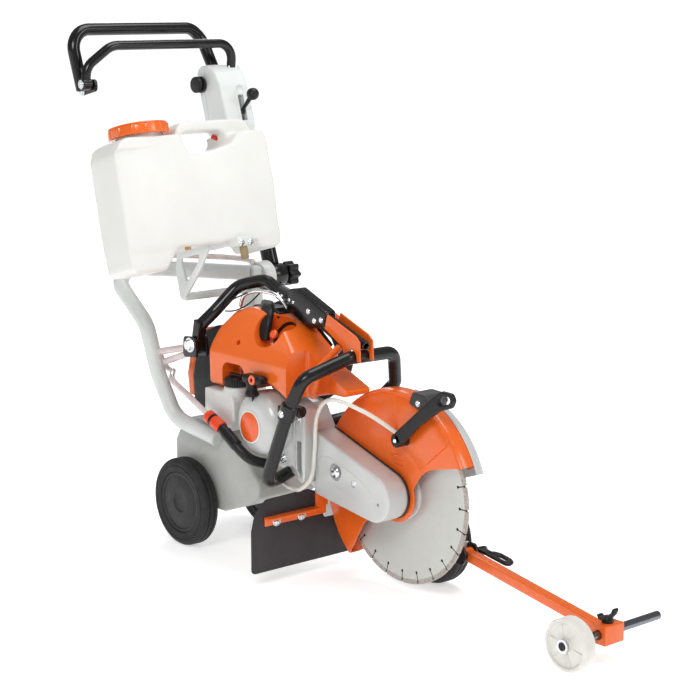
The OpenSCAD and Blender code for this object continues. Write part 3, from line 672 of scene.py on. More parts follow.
def make_tank_bracket():
    tray = brick("tray", (-130, -20, 19), (-6, 106, 29), 2, TANK_PLACE)
    side = plate("side", rounded([(-134, -73), (-116, -69), (-50, -22), (-16, 10), (-16, 21),
                                  (-120, 21), (-134, -10)], 6), 2, 8, 1.2,
                 [rounded([(-112, 8), (-42, 8), (-58, -10), (-104, -42)], 6)], TANK_PLACE)
    latch = brick("latch_box", (-10, 50, 8), (20, 92, 27), 4, TANK_PLACE)
    bar = brick("cross_bar", (14, -145, 508), (30, 14, 522), 2)
    piece("tank_bracket_look", [tray, side, latch, bar], "root", "pale_paint", "tank_bracket")
    spout = tube("bracket_spout", [(8, 71, -16), (8, 71, 10)], 8, place=TANK_PLACE)
    fit(spout, "root", "steel", look="khaki")
    heads = []
    for y in (60, 82):
        place = TANK_PLACE @ Vector((20, y, 14))
        heads.append(screw(place, (1, 0, 0.2), 5, 3.5, 28, 6.5, "chrome"))
    piece("latch_screws", heads, "root", "steel")


make_tank_bracket()


def make_hinge_bracket():
    plates = [plate("cheek", rounded([(24, 396), (70, 400), (66, 441), (26, 438)], 8), y, y + 6, 1)
              for y in (-152, -126)]
    plates.append(plate("cheek_web", rounded([(24, 396), (31, 396), (30, 430), (25, 430)], 2), -146,
                        -126, 0.5))
    pin = peg("cheek_pin", 8, 40, (49, -156, 423), sides=32)
    piece("hinge_bracket_look", [*plates, pin], "root", "black_paint", "hinge_bracket")
    head = screw((49, -152, 423), (0, -1, 0), 11, 9, 6, 15)
    fit(head, "root", "steel")
    stays = [tube("stay", [(-66, -152, 392), (26, -138, 414)], 7, 24),
             tube("stay", [(-56, -140, 372), (26, -134, 402)], 7, 24)]
    piece("clear_stays", stays, "root", "clear_hose")


make_hinge_bracket()


def make_flap():
    outline = [(-215, 28), (40, 28), (40, 108), (-40, 108), (-40, 158), (-77, 172), (-180, 169),
               (-206, 146), (-215, 112)]
    flap = plate("flap_look", rounded(outline, 8), 322, 326, 1, along="x")
    fit(flap, "root", "black_rubber", "spray_flap")
    angle = [brick("angle_face", (326, -186, 118), (330, -36, 136), 1.2),
             brick("angle_shelf", (328, -186, 132), (346, -60, 136), 1.2),
             brick("angle_tab", (326, -62, 134), (330, -32, 169), 1.2)]
    piece("flap_bracket_look", angle, "root", "orange_paint", "flap_bracket")
    heads = []
    for y in (-159, -98):
        heads.append(screw((330, y, 125), (1, 0, 0), 7.5, 6, 6, 10))
        heads.append(screw((336, y, 125), (1, 0, 0), 3.5, 3, 28))
    piece("flap_bolts", heads, "root", "steel")


make_flap()

# ---- front wheel carrier and guide arm ----

GUIDE_YAW, GUIDE_DROP = math.radians(-6.5), math.radians(5.6)
GUIDE_PLACE = (Matrix.Translation((622, 61, 84)) @ Matrix.Rotation(GUIDE_YAW, 4, "Z")
               @ Matrix.Rotation(GUIDE_DROP, 4, "Y"))


def make_carrier():
    bar = [(-24, 112), (-24, 66), (520, 66), (560, 66), (606, 66), (606, 102), (560, 102),
           (520, 112)]
    side = plate("carrier_bar", rounded(bar, 10), 50.5, 58, 1.5, [circle((0, WHEEL_R), 10.3)])
    web = brick("carrier_web", (603, 43, 66), (608, 79, 102), 1)
    ears = [plate("carrier_ear", rounded([(606, 66), (628, 66), (638, 84), (628, 102),
                                          (606, 102)], 8), y, y + 5, 0.8) for y in (43, 74)]
    piece("carrier_look", [side, web], "carrier", "pale_paint", "front_carrier")
    piece("carrier_ears", ears, "carrier", "black_paint", look="black_paint")


def make_guide():
    length = 370
    square = rounded_box(-10, -10, 10, 10, 3, 5)
    bar = plate("guide_bar", square, 4, length, 1, place=GUIDE_PLACE, along="x")
    knuckle = lathe("guide_knuckle", EYE_OUTLINE, (0, -10, 0), sides=48, place=GUIDE_PLACE)
    block = plate("guide_block", rounded_box(988, 29, 1022, 63, 2), -6, 42, 1.5,
                  [circle((1005, 46), 8.1)])
    piece("guide_arm_look", [bar, knuckle, block], "guide", "orange_paint", "guide_arm")


def make_guide_rod():
    rod = lathe("rod_look", [(0, 0), (7, 0), (8, 1.2), (8, 134.8), (7.2, 135.2), (7.2, 138),
                             (8, 138.4), (8, 241), (7, 242), (0, 242)], (1005, -92, 46), sides=48)
    collars = [lathe("rod_clip", [(8, 0), (12, 0), (12, 2), (8, 2)], (1005, y, 46), sides=40)
               for y in (-94, -56)]
    cap = lathe("rod_cap", [(0, 0), (6, 0), (7, 1), (7, 4), (0, 4)], (1005, -94.6, 46), sides=40)
    piece("guide_rod_look", [coloured(rod, "dark_steel"), *[coloured(c, "zinc") for c in collars],
                             coloured(cap, "black_plastic")], "rod", "steel", "guide_rod")


def make_roller():
    rim = lathe("roller_rim", [(8.1, 0), (12, 0), (12.6, 1), (12.6, 3), (37, 4.6), (39, 3),
                               (39.4, 1), (40, 0), (44, 0), (46, 2.4), (46, 25.6), (44, 28),
                               (39, 28), (38, 27), (38, 20), (36, 18), (15.6, 20), (15.6, 27),
                               (15, 28), (8.1, 28)], (1005, -88, 46), sides=96)
    webs = []
    for k in range(6):
        turn = Matrix.Rotation(math.radians(60 * k + 12), 4, "Y")
        turn = Matrix.Translation((1005, 0, 46)) @ turn
        webs.append(brick("roller_web", (12, -85.6, -0.9), (39, -61.5, 0.9), 0.5, turn))
    piece("roller_look", [rim, *webs], "roller", "roller_nylon", "guide_roller")


def make_wing_bolt():
    stem = lathe("wing_stem", [(0, 0), (4, 0), (4, 9), (10, 9.4), (10.5, 12), (9, 18), (7, 20),
                               (0, 20)], (1005, 18, 54.4), Z, sides=40)
    wings = []
    for side in (-1, 1):
        outline = [(0, 66), (side * 8, 66), (side * 22, 73), (side * 26, 80), (side * 25, 83),
                   (side * 14, 83), (side * 10, 77), (0, 74)]
        outline = [(18 + y, z) for y, z in outline]
        wings.append(plate("wing", rounded(outline, 3, 5), 1002, 1008, 2.4, along="x"))
    piece("wing_bolt_look", [stem, *wings], "wing_bolt", "black_plastic", "wing_bolt")


def make_pedal():
    hub = lathe("pedal_hub", [(5.1, 0), (8.5, 0), (9, 0.6), (9, 19.4), (8.5, 20), (5.1, 20)],
                (0, 20, 0), sides=40, place=GUIDE_PLACE)
    neck = brick("pedal_neck", (4, 22, 2), (40, 38, 8), 1.5, GUIDE_PLACE)
    outline = rounded([(24, 21), (82, 22), (90, 30), (84, 43), (70, 49), (40, 49), (24, 42)], 9)
    pad = plate("pedal_pad", outline, 2, 8, 2, [rounded_box(46, 31, 74, 39, 3.5)], GUIDE_PLACE,
                along="z")
    piece("pedal_look", [hub, neck, pad], "pedal", "black_paint", "pedal")


make_carrier()
make_guide()
make_guide_rod()
make_roller()
make_wing_bolt()
make_pedal()

# ---- handle ----

LEAN_PLACE = Matrix.Translation((-52, 63, 830)) @ Matrix.Rotation(math.radians(-17), 4, "Y")


def make_column():
    sleeve = lathe("column_sleeve", [(6.1, 0), (23, 0), (24, 1.5), (24, 35.5), (23, 37), (6.1, 37)],
                   (20, 67, 536), sides=56)
    post = tube("column_post", bent([(8, 86, 556), (-40, 84, 700), (-90, 66, 850), (-104, 64, 890)],
                                    60), 17, 28, 2)
    tab = plate("column_tab", rounded([(20, 514), (44, 520), (58, 496), (46, 488)], 5), 80, 92, 2)
    piece("column_look", [sleeve, post, tab], "column", "black_paint", "column_tube")


def make_star_knob():
    lobes = 7
    outline = wavy((20, 536), lobes * 16, lambda t: 22.4 + 3.4 * math.cos(lobes * t))
    head = plate("star_head", outline, 112, 138, 4, [circle((20, 536), 6.1)], steps=5)
    neck = lathe("star_neck", [(6.1, 0), (11, 0), (11, 8), (6.1, 8)], (20, 105, 536), sides=40)
    piece("star_knob_look", [head, neck], "star_knob", "black_plastic", "star_knob")


def make_console():
    side = [(-8, 0), (0, 12), (0, 96), (-10, 128), (-30, 148), (-52, 152), (-68, 146), (-74, 132),
            (-74, 12), (-66, 0)]
    body = plate("console_body", side, -37, 37, 1, place=LEAN_PLACE)
    shell = moulded("console_look", [body], 2.2, 14)
    tools = [brick("foot_cut", (-60, -31, -20), (-10, 31, 39), 1, LEAN_PLACE),
             plate("slot_cut", rounded_box(-18, 22, 12, 76, 3), 4, 18, 2, place=LEAN_PLACE),
             plate("recess_cut", rounded_box(-68, 101, -20, 180, 7), 9, 49, 6, place=LEAN_PLACE),
             lathe("dimple_cut", [(0, 0), (9, 0), (7, 3), (0, 4)],
                   LEAN_PLACE @ Vector((0.6, 12, 88)), LEAN_PLACE.to_3x3() @ Vector((-1, 0, 0)),
                   32)]
    cut(shell, tools, 50)
    rim = tube("recess_rim", [LEAN_PLACE @ Vector(p) for p in
                              smooth([(-19, 10, 142), (-17.6, 12, 118), (-17, 22, 106),
                                      (-17.6, 32, 118), (-19, 35, 142)], 6)], 2.2, 12)
    seam = tube("console_seam", [LEAN_PLACE @ Vector(p) for p in
                                 smooth([(-58, -37.2, 40), (-55, -37.4, 80), (-58, -37.2, 110)])],
                0.8, 8, 0.3)
    pin = peg("bail_pin", 5, 25, (-124, 72, 932), sides=28)
    piece("console_shell", [shell, rim, seam, pin], "column", "grey_plastic", "console")


HANDLE_ROUTE = [(-138, 58, 944), (-177, 54, 1012), (-177, 24, 1037), (-175, -270, 1037),
                (-156, -255, 918)]
BAIL_ROUTE = [(-124, 86, 932), (-118, 88, 1006), (-118, -210, 1006), (-122, -266, 966),
              (-124, -268, 932)]


def make_handlebar():
    bar = tube("bar", bent(HANDLE_ROUTE, 40, 12), 12.5, 32, 1.5, bore=(10, 30))
    link = plate("bar_link", rounded([(-168, 905), (-106, 919), (-108, 944), (-164, 932)], 9), -257,
                 -251, 1)
    pin = peg("bar_pin", 5, 26, (-124, -278, 932), sides=28)
    piece("handlebar_look", [bar, link, pin], "column", "black_paint", "handlebar")
    heads = [screw((-154, -257, 917), (0, -1, 0), 7, 5, 6, 9),
             screw((-124, -278.2, 932), (0, -1, 0), 6, 4, 6, 9)]
    piece("bar_bolts", heads, "column", "steel")


def make_bail():
    bar = tube("bail_bar", bent(BAIL_ROUTE, 48, 12), 9.5, 28, 1)
    eyes = [lathe("bail_eye", EYE_OUTLINE, (-124, y, 932), sides=40) for y in (76, -278)]
    piece("bail_look", [bar, *eyes], "bail", "black_paint", "bail")


def make_side_knob():
    profile = [(0, -10), (4, -10), (4, -0.5), (7, 0.4), (7, 2.6), (15.5, 3), (17, 4), (17, 8),
               (15.5, 9), (8, 9.4), (8, 12.6), (15.5, 13), (17, 14.4), (17, 19.4), (15.6, 21.4),
               (12, 22), (0, 22)]
    fit(lathe("side_knob_look", profile, (-138, 26, 922), (0, -1, 0), 64), "side_knob",
        "black_plastic", "side_knob")


def make_throttle_lever():
    root = Vector((-71, 74, 868))
    lean = Vector((math.sin(math.radians(46)), 0, math.cos(math.radians(46))))
    pin = peg("lever_pin", 2.9, 28, (-71, 62, 868), sides=24)
    eye = lathe("lever_eye", [(0, 0), (5.4, 0), (6, 0.6), (6, 9.4), (5.4, 10), (0, 10)],
                (-71, 69, 868), sides=32)
    stem = tube("lever_stem", [root, root + lean * 20, root + lean * 46], [4.2, 3.8, 5.5], 20, 0.5)
    ball = lathe("lever_ball", [(0, -12.9), (6, -12.4), (6.6, -10.9), (9.6, -8.6), (11.8, -5.4),
                                (12.9, -1.2), (12.6, 3), (10.9, 7), (8, 10.2), (4, 12.4),
                                (0, 12.9)], root + lean * 53.8, lean, 40, crease=60)
    piece("throttle_lever_look", [pin, eye, stem, ball], "throttle_lever", "black_plastic",
          "throttle_lever")
    fit(screw(root + Vector((0.5, -5, 0)), (0, -1, 0), 2.4, 1.5, 28, 0, "chrome"), "throttle_lever",
        "steel")


make_column()
make_star_knob()
make_console()
make_handlebar()
make_bail()
make_side_knob()
make_throttle_lever()

# ---- water tank ----


def make_tank():
    main = [(-182, 20), (174, 20), (182, 130), (180, 222), (172, 240), (160, 262), (146, 268),
            (4, 268), (-10, 256), (-18, 238), (-150, 238), (-170, 228), (-180, 206)]
    slot = [(-6, 200), (30, 200), (92, 214), (104, 228), (100, 242), (90, 247), (10, 247),
            (-10, 238), (-16, 222)]
    left_foot = [(-172, -20), (-104, -20), (-86, 2), (-60, 34), (-181, 34), (-181, -10)]
    right_foot = [(122, 3), (160, 0), (176, 10), (178, 40), (112, 40)]
    parts = [plate("tank_body", main, -100, 0, 1, [slot], TANK_PLACE, along="x")]
    parts += [plate("tank_foot", foot, -98, -2, 1, place=TANK_PLACE, along="x")
              for foot in (left_foot, right_foot)]
    shell = moulded("tank_shell", parts, 3.2, 2)
    notch = [(-24, 226), (-14, 198), (34, 198), (64, 210), (100, 226), (112, 236), (150, 238),
             (186, 238), (186, 290), (-24, 290)]
    trims = [plate("hoop_trim", notch, -33, 12, 1, place=TANK_PLACE, along="x"),
             plate("hoop_trim", [(-24, 240), (186, 240), (186, 290), (-24, 290)], -112, -74, 1,
                   place=TANK_PLACE, along="x")]
    cut(shell, trims)
    shell = moulded("tank_soft", [shell], 2.6, 16)
    to_world = Matrix.Translation(ORIGIN) @ Matrix.Scale(MM, 4) @ TANK_PLACE
    to_tank = to_world.inverted()
    for vertex in shell.data.vertices:
        place = to_tank @ vertex.co
        if place.x > -30 and place.y < -92 and place.z < 215:
            place.x -= (-92 - place.y) * 0.07 * (place.x + 30) / 30
        vertex.co = to_world @ place
    neck = lathe("tank_neck", [(40, 215), (45, 215), (45, 261), (44, 262), (41, 262), (40, 261)],
                 (-54, -86, 0), Z, 64, place=TANK_PLACE)
    piece("water_tank_look", [shell, neck], "tank", "tank_plastic", "water_tank")
    outlet = lathe("tank_outlet", [(0, 0), (5, 0), (6, 1), (6, 8), (4, 9), (4, 16), (0, 16)],
                   (-12, -46, 14), Z, 28, place=TANK_PLACE)
    fit(outlet, "tank", "steel", look="brass")
    valve = tube("tank_valve", [TANK_PLACE @ Vector((-62, 92, 238)),
                                TANK_PLACE @ Vector((-62, 104, 234))], 4.5, 24)
    fit(valve, "tank", "red_plastic", look="valve_red")


def make_tank_cap():
    teeth = 12

    def reach(t):
        rise = max(0, min(1, (math.cos(teeth * (t - math.pi / teeth)) - 0.72) * 8))
        return 57.6 + 2.2 * rise

    outline = wavy((-54, -86), teeth * 20, reach)
    skirt = plate("cap_skirt", outline, 244.4, 263.5, 2.4, [circle((-54, -86), 46, 64)],
                  TANK_PLACE, 4, "z", 50)
    top = lathe("cap_top", [(0, 18.2), (46.4, 18.2), (56, 18.6), (57.4, 20), (56.6, 22), (53, 22.8),
                            (50, 22.4), (48.6, 20.6), (20, 20.2), (18.5, 22), (0, 22.2)],
                (-54, -86, 244.3), Z, 72, place=TANK_PLACE)
    piece("tank_cap_look", [skirt, top], "tank_cap", "orange_plastic", "tank_cap")


make_tank()
make_tank_cap()

# ---- quick clamp ----


def make_swing_arm():
    lug = plate("arm_lug", [*arc((49, 423), 16, 100, 330, 20), (62, 424), (74, 468), (54, 474)],
                -145.7, -126.3, 1.5, [circle((49, 423), 8.1)])
    route = [(60, -134, 462), (78, -112, 490), (94, -64, 540), (150, -38, 554), (206, -38, 530),
             (350, -40, 502)]
    bar = tube("arm_bar", bent(route, 40, 12), 12.5, 32, 1.5)
    sleeve = tube("arm_sleeve", [(196, -38, 534.5), (262, -38.7, 519)], 15, 32, 1)
    box = plate("arm_box", rounded([(232, 508), (240, 548), (262, 552), (352, 516), (342, 486),
                                    (300, 478)], 7), -54, -28, 2.5)
    probe = tube("arm_tube", [(340, -41, 505), (452, -41, 465)], 9, 28, 1, bore=(6.5, 40))
    piece("swing_arm_look", [lug, bar, sleeve, box, probe], "clamp_arm", "black_paint",
          "swing_arm")
    heads = [screw((x, -54, z), (0, -1, 0), 4, 3, 28, 5.5, "zinc")
             for x, z in ((318, 496), (300, 512), (338, 500))]
    heads += [screw((x, -52.2, z), (0, -1, 0), 3.2, 3, 28, 0, "chrome")
              for x, z in ((206, 535), (218, 532), (242, 527), (254, 524))]
    piece("arm_screws", heads, "clamp_arm", "steel")


PRONG = [(396, -57, 458), (391, -102, 424), (378, -110, 372)]


def make_clamp_channel():
    outline = [(352, 486), (404, 458), (408, 436), (415.5, 436), *arc((430, 442), 14.5, 180, 0, 14),
               (444.5, 436), (454, 436), (452, 474), (440, 484), (360, 514)]
    cheeks = [plate("channel_cheek", outline, y, y + 3.5, 0.8) for y in (-58, -26)]
    floor_strip = plate("channel_floor", [(366, 478), (401, 462), (404, 468), (372, 481)], -56, -25,
                        0.6)
    prong = tube("channel_prong", bent(PRONG, 20, 6), [7] * 8 + [8], 20, 2)
    tip = lathe("prong_tip", [(0, -3), (9, -3), (10, -1.5), (10, 1.5), (9, 3), (0, 3)],
                (378, -110, 372), (0.3, -0.9, 0.3), 32)
    pin = lathe("latch_pin", [(0, 0), (3, 0), (3, 8), (7, 8), (7, 11), (0, 11)], (388, -23, 480),
                sides=32)
    piece("clamp_channel_look", [*cheeks, floor_strip, prong, tip, pin], "clamp_arm",
          "orange_paint", "clamp_channel")


def make_clamp_lever():
    outline = rounded([(379, 476), (388, 470.5), (430, 461), (436, 468), (428, 476), (390, 489.5),
                       (380, 486)], 4)
    lever = plate("clamp_lever_look", outline, -21.5, -16, 1.5, [circle((388, 480), 3.1, 24)])
    fit(lever, "clamp_lever", "red_plastic", "clamp_lever")


make_swing_arm()
make_clamp_channel()
make_clamp_lever()

# ---- saw: engine side ----

COVER_SIDE = [(92, 352), (90, 424), (100, 462), (126, 496), (160, 507), (205, 504), (282, 482),
              (330, 450), (377, 413), (449, 384), (446, 372), (400, 372), (340, 354), (300, 372),
              (262, 384), (222, 386), (206, 372), (206, 352)]


WELL_AXIS = (0, -0.86, 0.5)


def make_engine_cover():
    body = plate("cover_body", COVER_SIDE, -138, -24, 1)
    shell = moulded("cover_shell", [body], 3, 4)
    for vertex in shell.data.vertices:
        height = (vertex.co.z - ORIGIN.z) / MM
        side = (vertex.co.y - ORIGIN.y) / MM
        lean = max(0, min(1, (height - 415) / 95)) ** 1.3
        vertex.co.y = ORIGIN.y + (-24 + (side + 24) * (1 - 0.45 * lean)) * MM
    shell = moulded("cover_soft", [shell], 2.4, 16)
    tools = [plate("cap_well", rounded_box(136, 330, 206, 402, 18), -170, -98, 10),
             plate("nose_cut", rounded_box(335, 320, 470, 480, 20), -170, -84, 8),
             lathe("handle_well", [(0, -26), (26, -24), (36, -14), (40, 0), (41, 40), (0, 40)],
                   (248, -84, 466), WELL_AXIS, 48),
             lathe("drain_hole", [(0, -20), (5.5, -20), (5.5, 20), (0, 20)], (175, -124, 441),
                   WELL_AXIS, 24)]
    cut(shell, tools, 50)
    strip = plate("cover_strip", rounded([(-40, 300), (-46, 345), (-32, 398), (4, 446), (16, 440),
                                          (-10, 395), (-24, 345), (-21.5, 300)], 5), -92, -36, 3)
    piece("engine_cover_look", [shell, strip], "root", "orange_plastic", "engine_cover")


def make_cover_fittings():
    """Recoil strap over the well, its knob, the dark throat ring and the intake's black top."""
    ring = lathe("well_ring", [(27, -24), (31, -24), (33, -18), (30, -17), (28, -20)],
                 (248, -84, 466), WELL_AXIS, 48, 40, 250)
    path = smooth([(156, -40, 508), (186, -62, 508), (206, -80, 500), (214, -90, 484),
                   (215, -95, 466), (213, -97, 450)], 6)
    straps = [tube("well_strap", [(x + side, y, z) for x, y, z in path], 7.5, 18, 3)
              for side in (-9, -3, 3, 9)]
    strap = join("well_straps", straps)
    hood = plate("intake_hood", rounded([(112, 488), (150, 508), (210, 508), (236, 496),
                                         (200, 478), (140, 474)], 7), -70, -26, 6, steps=5)
    piece("cover_straps", [ring, strap, hood], "root", "black_plastic", look="black_plastic")
    knob = lathe("primer_knob", [(0, 0), (8, 0), (9, 1.5), (9, 6), (7, 8), (3, 8.6), (0, 8.6)],
                 (240, -88, 462), WELL_AXIS, 32)
    fit(knob, "root", "orange_plastic", look="badge")
    bolt = screw((262, -84, 452), WELL_AXIS, 5, 4, 28, 0, "zinc")
    fit(bolt, "root", "steel")
    pipe = tube("decomp_pipe", smooth([(115, -76, 500), (130, -78, 524), (158, -72, 536),
                                       (196, -62, 536), (216, -54, 526), (228, -48, 508)], 6), 4,
                20, 0.6)
    fit(pipe, "root", "steel", look="chrome")
    wires = [tube("wire", smooth(route, 6), 1.5, 10, 0.3)
             for route in ([(84, -112, 508), (74, -112, 494), (82, -108, 486), (110, -100, 512),
                            (150, -84, 533)],
                           [(108, -108, 494), (130, -100, 497), (150, -84, 510),
                            (170, -70, 533)])]
    piece("cover_wires", wires, "root", "black_plastic")


LOOP_ROUTE = [(62, -48, 430), (84, -4, 470), (150, 3, 496), (240, 6, 496), (312, 8, 462),
              (346, 6, 410), (312, 2, 362), (276, -16, 332), (272, -40, 322)]


def make_rear_handle():
    band = plate("handle_band", rounded([(-20, 285), (0, 272), (88, 272), (88, 442), (60, 458),
                                         (16, 440), (-10, 395), (-24, 345)], 10), -96, -30, 7,
                 steps=5)
    loop = tube("handle_loop", bent(LOOP_ROUTE, 30, 8), 14, 28, 2)
    cheeks = [plate("trigger_cheek", rounded_box(226, 466, 254, 486, 4), y, y + 3, 0.8)
              for y in (-3, 12)]
    cheeks += [plate("lock_cheek", rounded([(268, 484), (284, 476), (284, 506), (268, 506)], 4), y,
                     y + 3, 0.8) for y in (-3, 12)]
    piece("rear_handle_look", [band, loop, *cheeks], "root", "black_plastic", "rear_handle",
          look="dark_band")


def make_air_filter():
    """Pleated ring under the cover."""
    folds = 36
    pleats = [(150 + (27 + 3 * math.cos(math.pi * k)) * math.cos(math.pi * k / folds),
               436 + (27 + 3 * math.cos(math.pi * k)) * math.sin(math.pi * k / folds))
              for k in range(2 * folds)]
    ring = plate("filter_folds", pleats, -98, -50, 0.6, [circle((150, 436), 19, 40)])
    caps = [lathe("filter_cap", [(19, 0), (31, 0), (31, 3), (19, 3)], (150, y, 436), sides=48)
            for y in (-101, -50)]
    piece("air_filter_look", [ring, *caps], "root", "filter_felt", "air_filter")


def make_fuel_tank():
    side = [(92, 300), (104, 268), (172, 268), (186, 290), (186, 330), (176, 345), (92, 345)]
    body = plate("fuel_body", side, -150, -100, 1)
    neck = lathe("fuel_neck", [(0, 0), (24, 0), (24, 34), (22, 36), (0, 36)], (164, -126, 320), Z,
                 48)
    fit(moulded("fuel_tank_look", [body, neck], 2, 12), "root", "fuel_plastic", "fuel_tank")


def make_fuel_cap():
    outline = wavy((166, -126), 180, lambda t: 23.2 + 0.8 * math.cos(30 * t))
    skirt = plate("cap_ring", outline, 356.4, 372, 1.6, along="z", crease=60)
    dome = lathe("cap_dome", [(0, 14), (22, 14), (21, 17), (18, 18.2), (0, 18.4)],
                 (166, -126, 356.3), Z, 48)
    grip = brick("cap_grip", (146, -130, 373.5), (186, -122, 380.2), 1.6)
    stem = peg("cap_stem", 15.8, 10.2, (166, -126, 346.3), Z, 40)
    piece("fuel_cap_look", [skirt, dome, grip, stem], "fuel_cap", "black_plastic", "fuel_cap")


STARTER = (252, -156, 298)


def make_starter():
    profile = [(0, 0.4), (34, 0.8), (42, 2.6), (50, 6), (56, 10.5), (60, 17), (62, 25), (62, 52),
               (56, 52), (56, 13), (0, 13)]
    dome = lathe("starter_dome", profile, STARTER, sides=96, crease=50)
    fit(dome, "root", "white_cover", "starter_housing")
    rim = lathe("badge_rim_look", [(0, 0), (31, 0), (32, 0.8), (31, 1.6), (0, 1.6)],
                (246, -157, 292), sides=72)
    face = lathe("badge_look", [(0, 0), (28.4, 0), (29, 0.4), (28.4, 0.9), (0, 0.9)],
                 (246, -157.6, 292), sides=72)
    piece("starter_badge", [coloured(rim, "badge_rim"), coloured(face, "badge")], "root",
          "orange_plastic")


def make_starter_grip():
    cord = tube("grip_cord", [(250, -150, 304), (250, -150, 368)], 2.8, 16, 0.5)
    boot = lathe("grip_boot", [(0, 0), (12, 0), (13.4, 2), (13.4, 6), (11, 11), (10, 18),
                               (11.5, 28), (0, 28)], (250, -153.5, 353), Z, 32)
    bar = plate("grip_bar", rounded([(227, 377), (283, 377), (285, 395), (227, 395)], 8, 6),
                -162.5, -138.8, 7, steps=6)
    piece("starter_grip_look", [cord, boot, bar], "starter_grip", "black_plastic", "starter_grip")
    ring = lathe("grip_ring", [(4, 0), (9, 0), (9.6, 1.2), (8.4, 2.6), (5, 2.8), (4, 2)],
                 (262, -162, 387), (0, -1, 0), 36)
    fit(ring, "starter_grip", "orange_plastic", look="badge")


def make_crankcase():
    side = [(345, 292), (345, 334), (316, 345), (200, 345), (190, 306), (196, 252), (240, 216),
            (312, 204), (345, 182)]
    case = plate("case_body", rounded(side, 8), -104, -64, 3,
                 [circle((255, 276), 12.1),
                  rounded([(322, 270), (336, 270), (336, 200), (322, 214)], 3)])
    ribs = [brick("case_rib", (x, -106, 214), (x + 3, -102, 330), 1) for x in (316, 340)]
    piece("crankcase_look", [case, *ribs], "root", "cast_alloy", "crankcase")
    heads = [screw((330, -104, 316), (0, -1, 0), 6, 5, 28, 9, "zinc"),
             screw((283, -104, 229), (0, -1, 0), 6, 5, 28, 9, "zinc")]
    piece("case_bolts", heads, "root", "steel")


make_engine_cover()
make_cover_fittings()
make_rear_handle()
make_air_filter()
make_fuel_tank()
make_fuel_cap()
make_starter()
make_starter_grip()
make_crankcase()


def make_trigger_and_lock():
    trigger = plate("trigger_look", rounded([(234, 474), (238, 468), (262, 452), (292, 434),
                                             (297, 439), (268, 460), (246, 479), (238, 480)], 2.5),
                    0.5, 11.5, 2, [circle((240, 474), 2.55, 20)])
    fit(trigger, "trigger", "black_plastic", "throttle_trigger")
    lock = plate("lock_look", rounded([(271, 501), (276, 496.5), (300, 496), (328, 487), (330, 492),
                                       (300, 505), (276, 508), (271, 505)], 2), 0.5, 11.5, 2,
                 [circle((276, 502), 2.55, 20)])
    fit(lock, "lock", "red_plastic", "throttle_lock")


make_trigger_and_lock()

HANDLE_LOOP = [(296, -92, 206), (312, -172, 190), (378, -168, 346), (412, -160, 412),
               (430, -66, 442), (430, 48, 440), (408, 72, 374), (330, 66, 302), (307, -30, 291)]


def make_front_handle():
    bar = tube("front_bar", bent(HANDLE_LOOP, 28, 10), 12.5, 32, 1.5)
    collar = tube("front_collar", [(371, -168.4, 330), (384, -167.6, 361)], 16, 28, 2)
    lug = brick("front_lug", (340, -164, 336), (372, -148, 352), 3)
    piece("front_handle_look", [bar, collar, lug], "root", "grip_rubber", "front_handle")
    head = screw((377, -183, 344), (0, -1, 0.1), 5, 3.5, 28, 7, "zinc")
    fit(head, "root", "steel")


def bellows(name, start, length, radius):
    turns = int(length / 5)
    profile = [(0, 0), (radius - 3, 0)]
    for k in range(turns):
        profile += [(radius - 3, 5 * k + 0.6), (radius - 0.4, 5 * k + 1.8), (radius, 5 * k + 2.5),
                    (radius - 0.4, 5 * k + 3.2), (radius - 3, 5 * k + 4.4)]
    profile += [(radius - 3, length), (0, length)]
    return lathe(name, profile, start, X, 40)


make_front_handle()
piece("springs_look", [bellows("spring_front", (316, -119, 335), 45, 11),
                       bellows("spring_rear", (90, -72, 300), 100, 12)], "root", "grip_rubber",
      "av_springs")

# ---- saw: blade side ----

ARM_R = 45
FLANGE_R = 51


def nose(radius, side):
    """Outline that runs round the spindle and back along the arm's two edges."""
    upper, lower = side[0], side[-1]
    a = math.degrees(math.atan2(upper[1] - BLADE.z, upper[0] - BLADE.x))
    b = math.degrees(math.atan2(lower[1] - BLADE.z, lower[0] - BLADE.x))
    return [*arc(BLADE_HUB, radius, b, a, 24), *side[1:-1]]


def make_bearer_arm():
    side = [(524, 234), (345, 291), (316, 338), (256, 345), (210, 330), (192, 292), (200, 250),
            (240, 222), (330, 170), (505, 146)]
    web = plate("arm_web", nose(ARM_R - 1, side), -64, -24, 1.5)
    boss = lathe("arm_boss", [(10.1, 0), (30, 0), (30, 11), (29, 12), (10.1, 12)],
                 (BLADE.x, -24, BLADE.z), sides=64)
    piece("bearer_arm_look", [web, boss], "root", "cast_alloy", "bearer_arm")
    seam = nose(ARM_R + 0.9, [(524, 235.4), (346, 292.2), (346, 167), (505, 145)])
    band = plate("cover_gasket", seam, -29, -25, 0.6)
    fit(band, "root", "black_rubber", look="gasket")


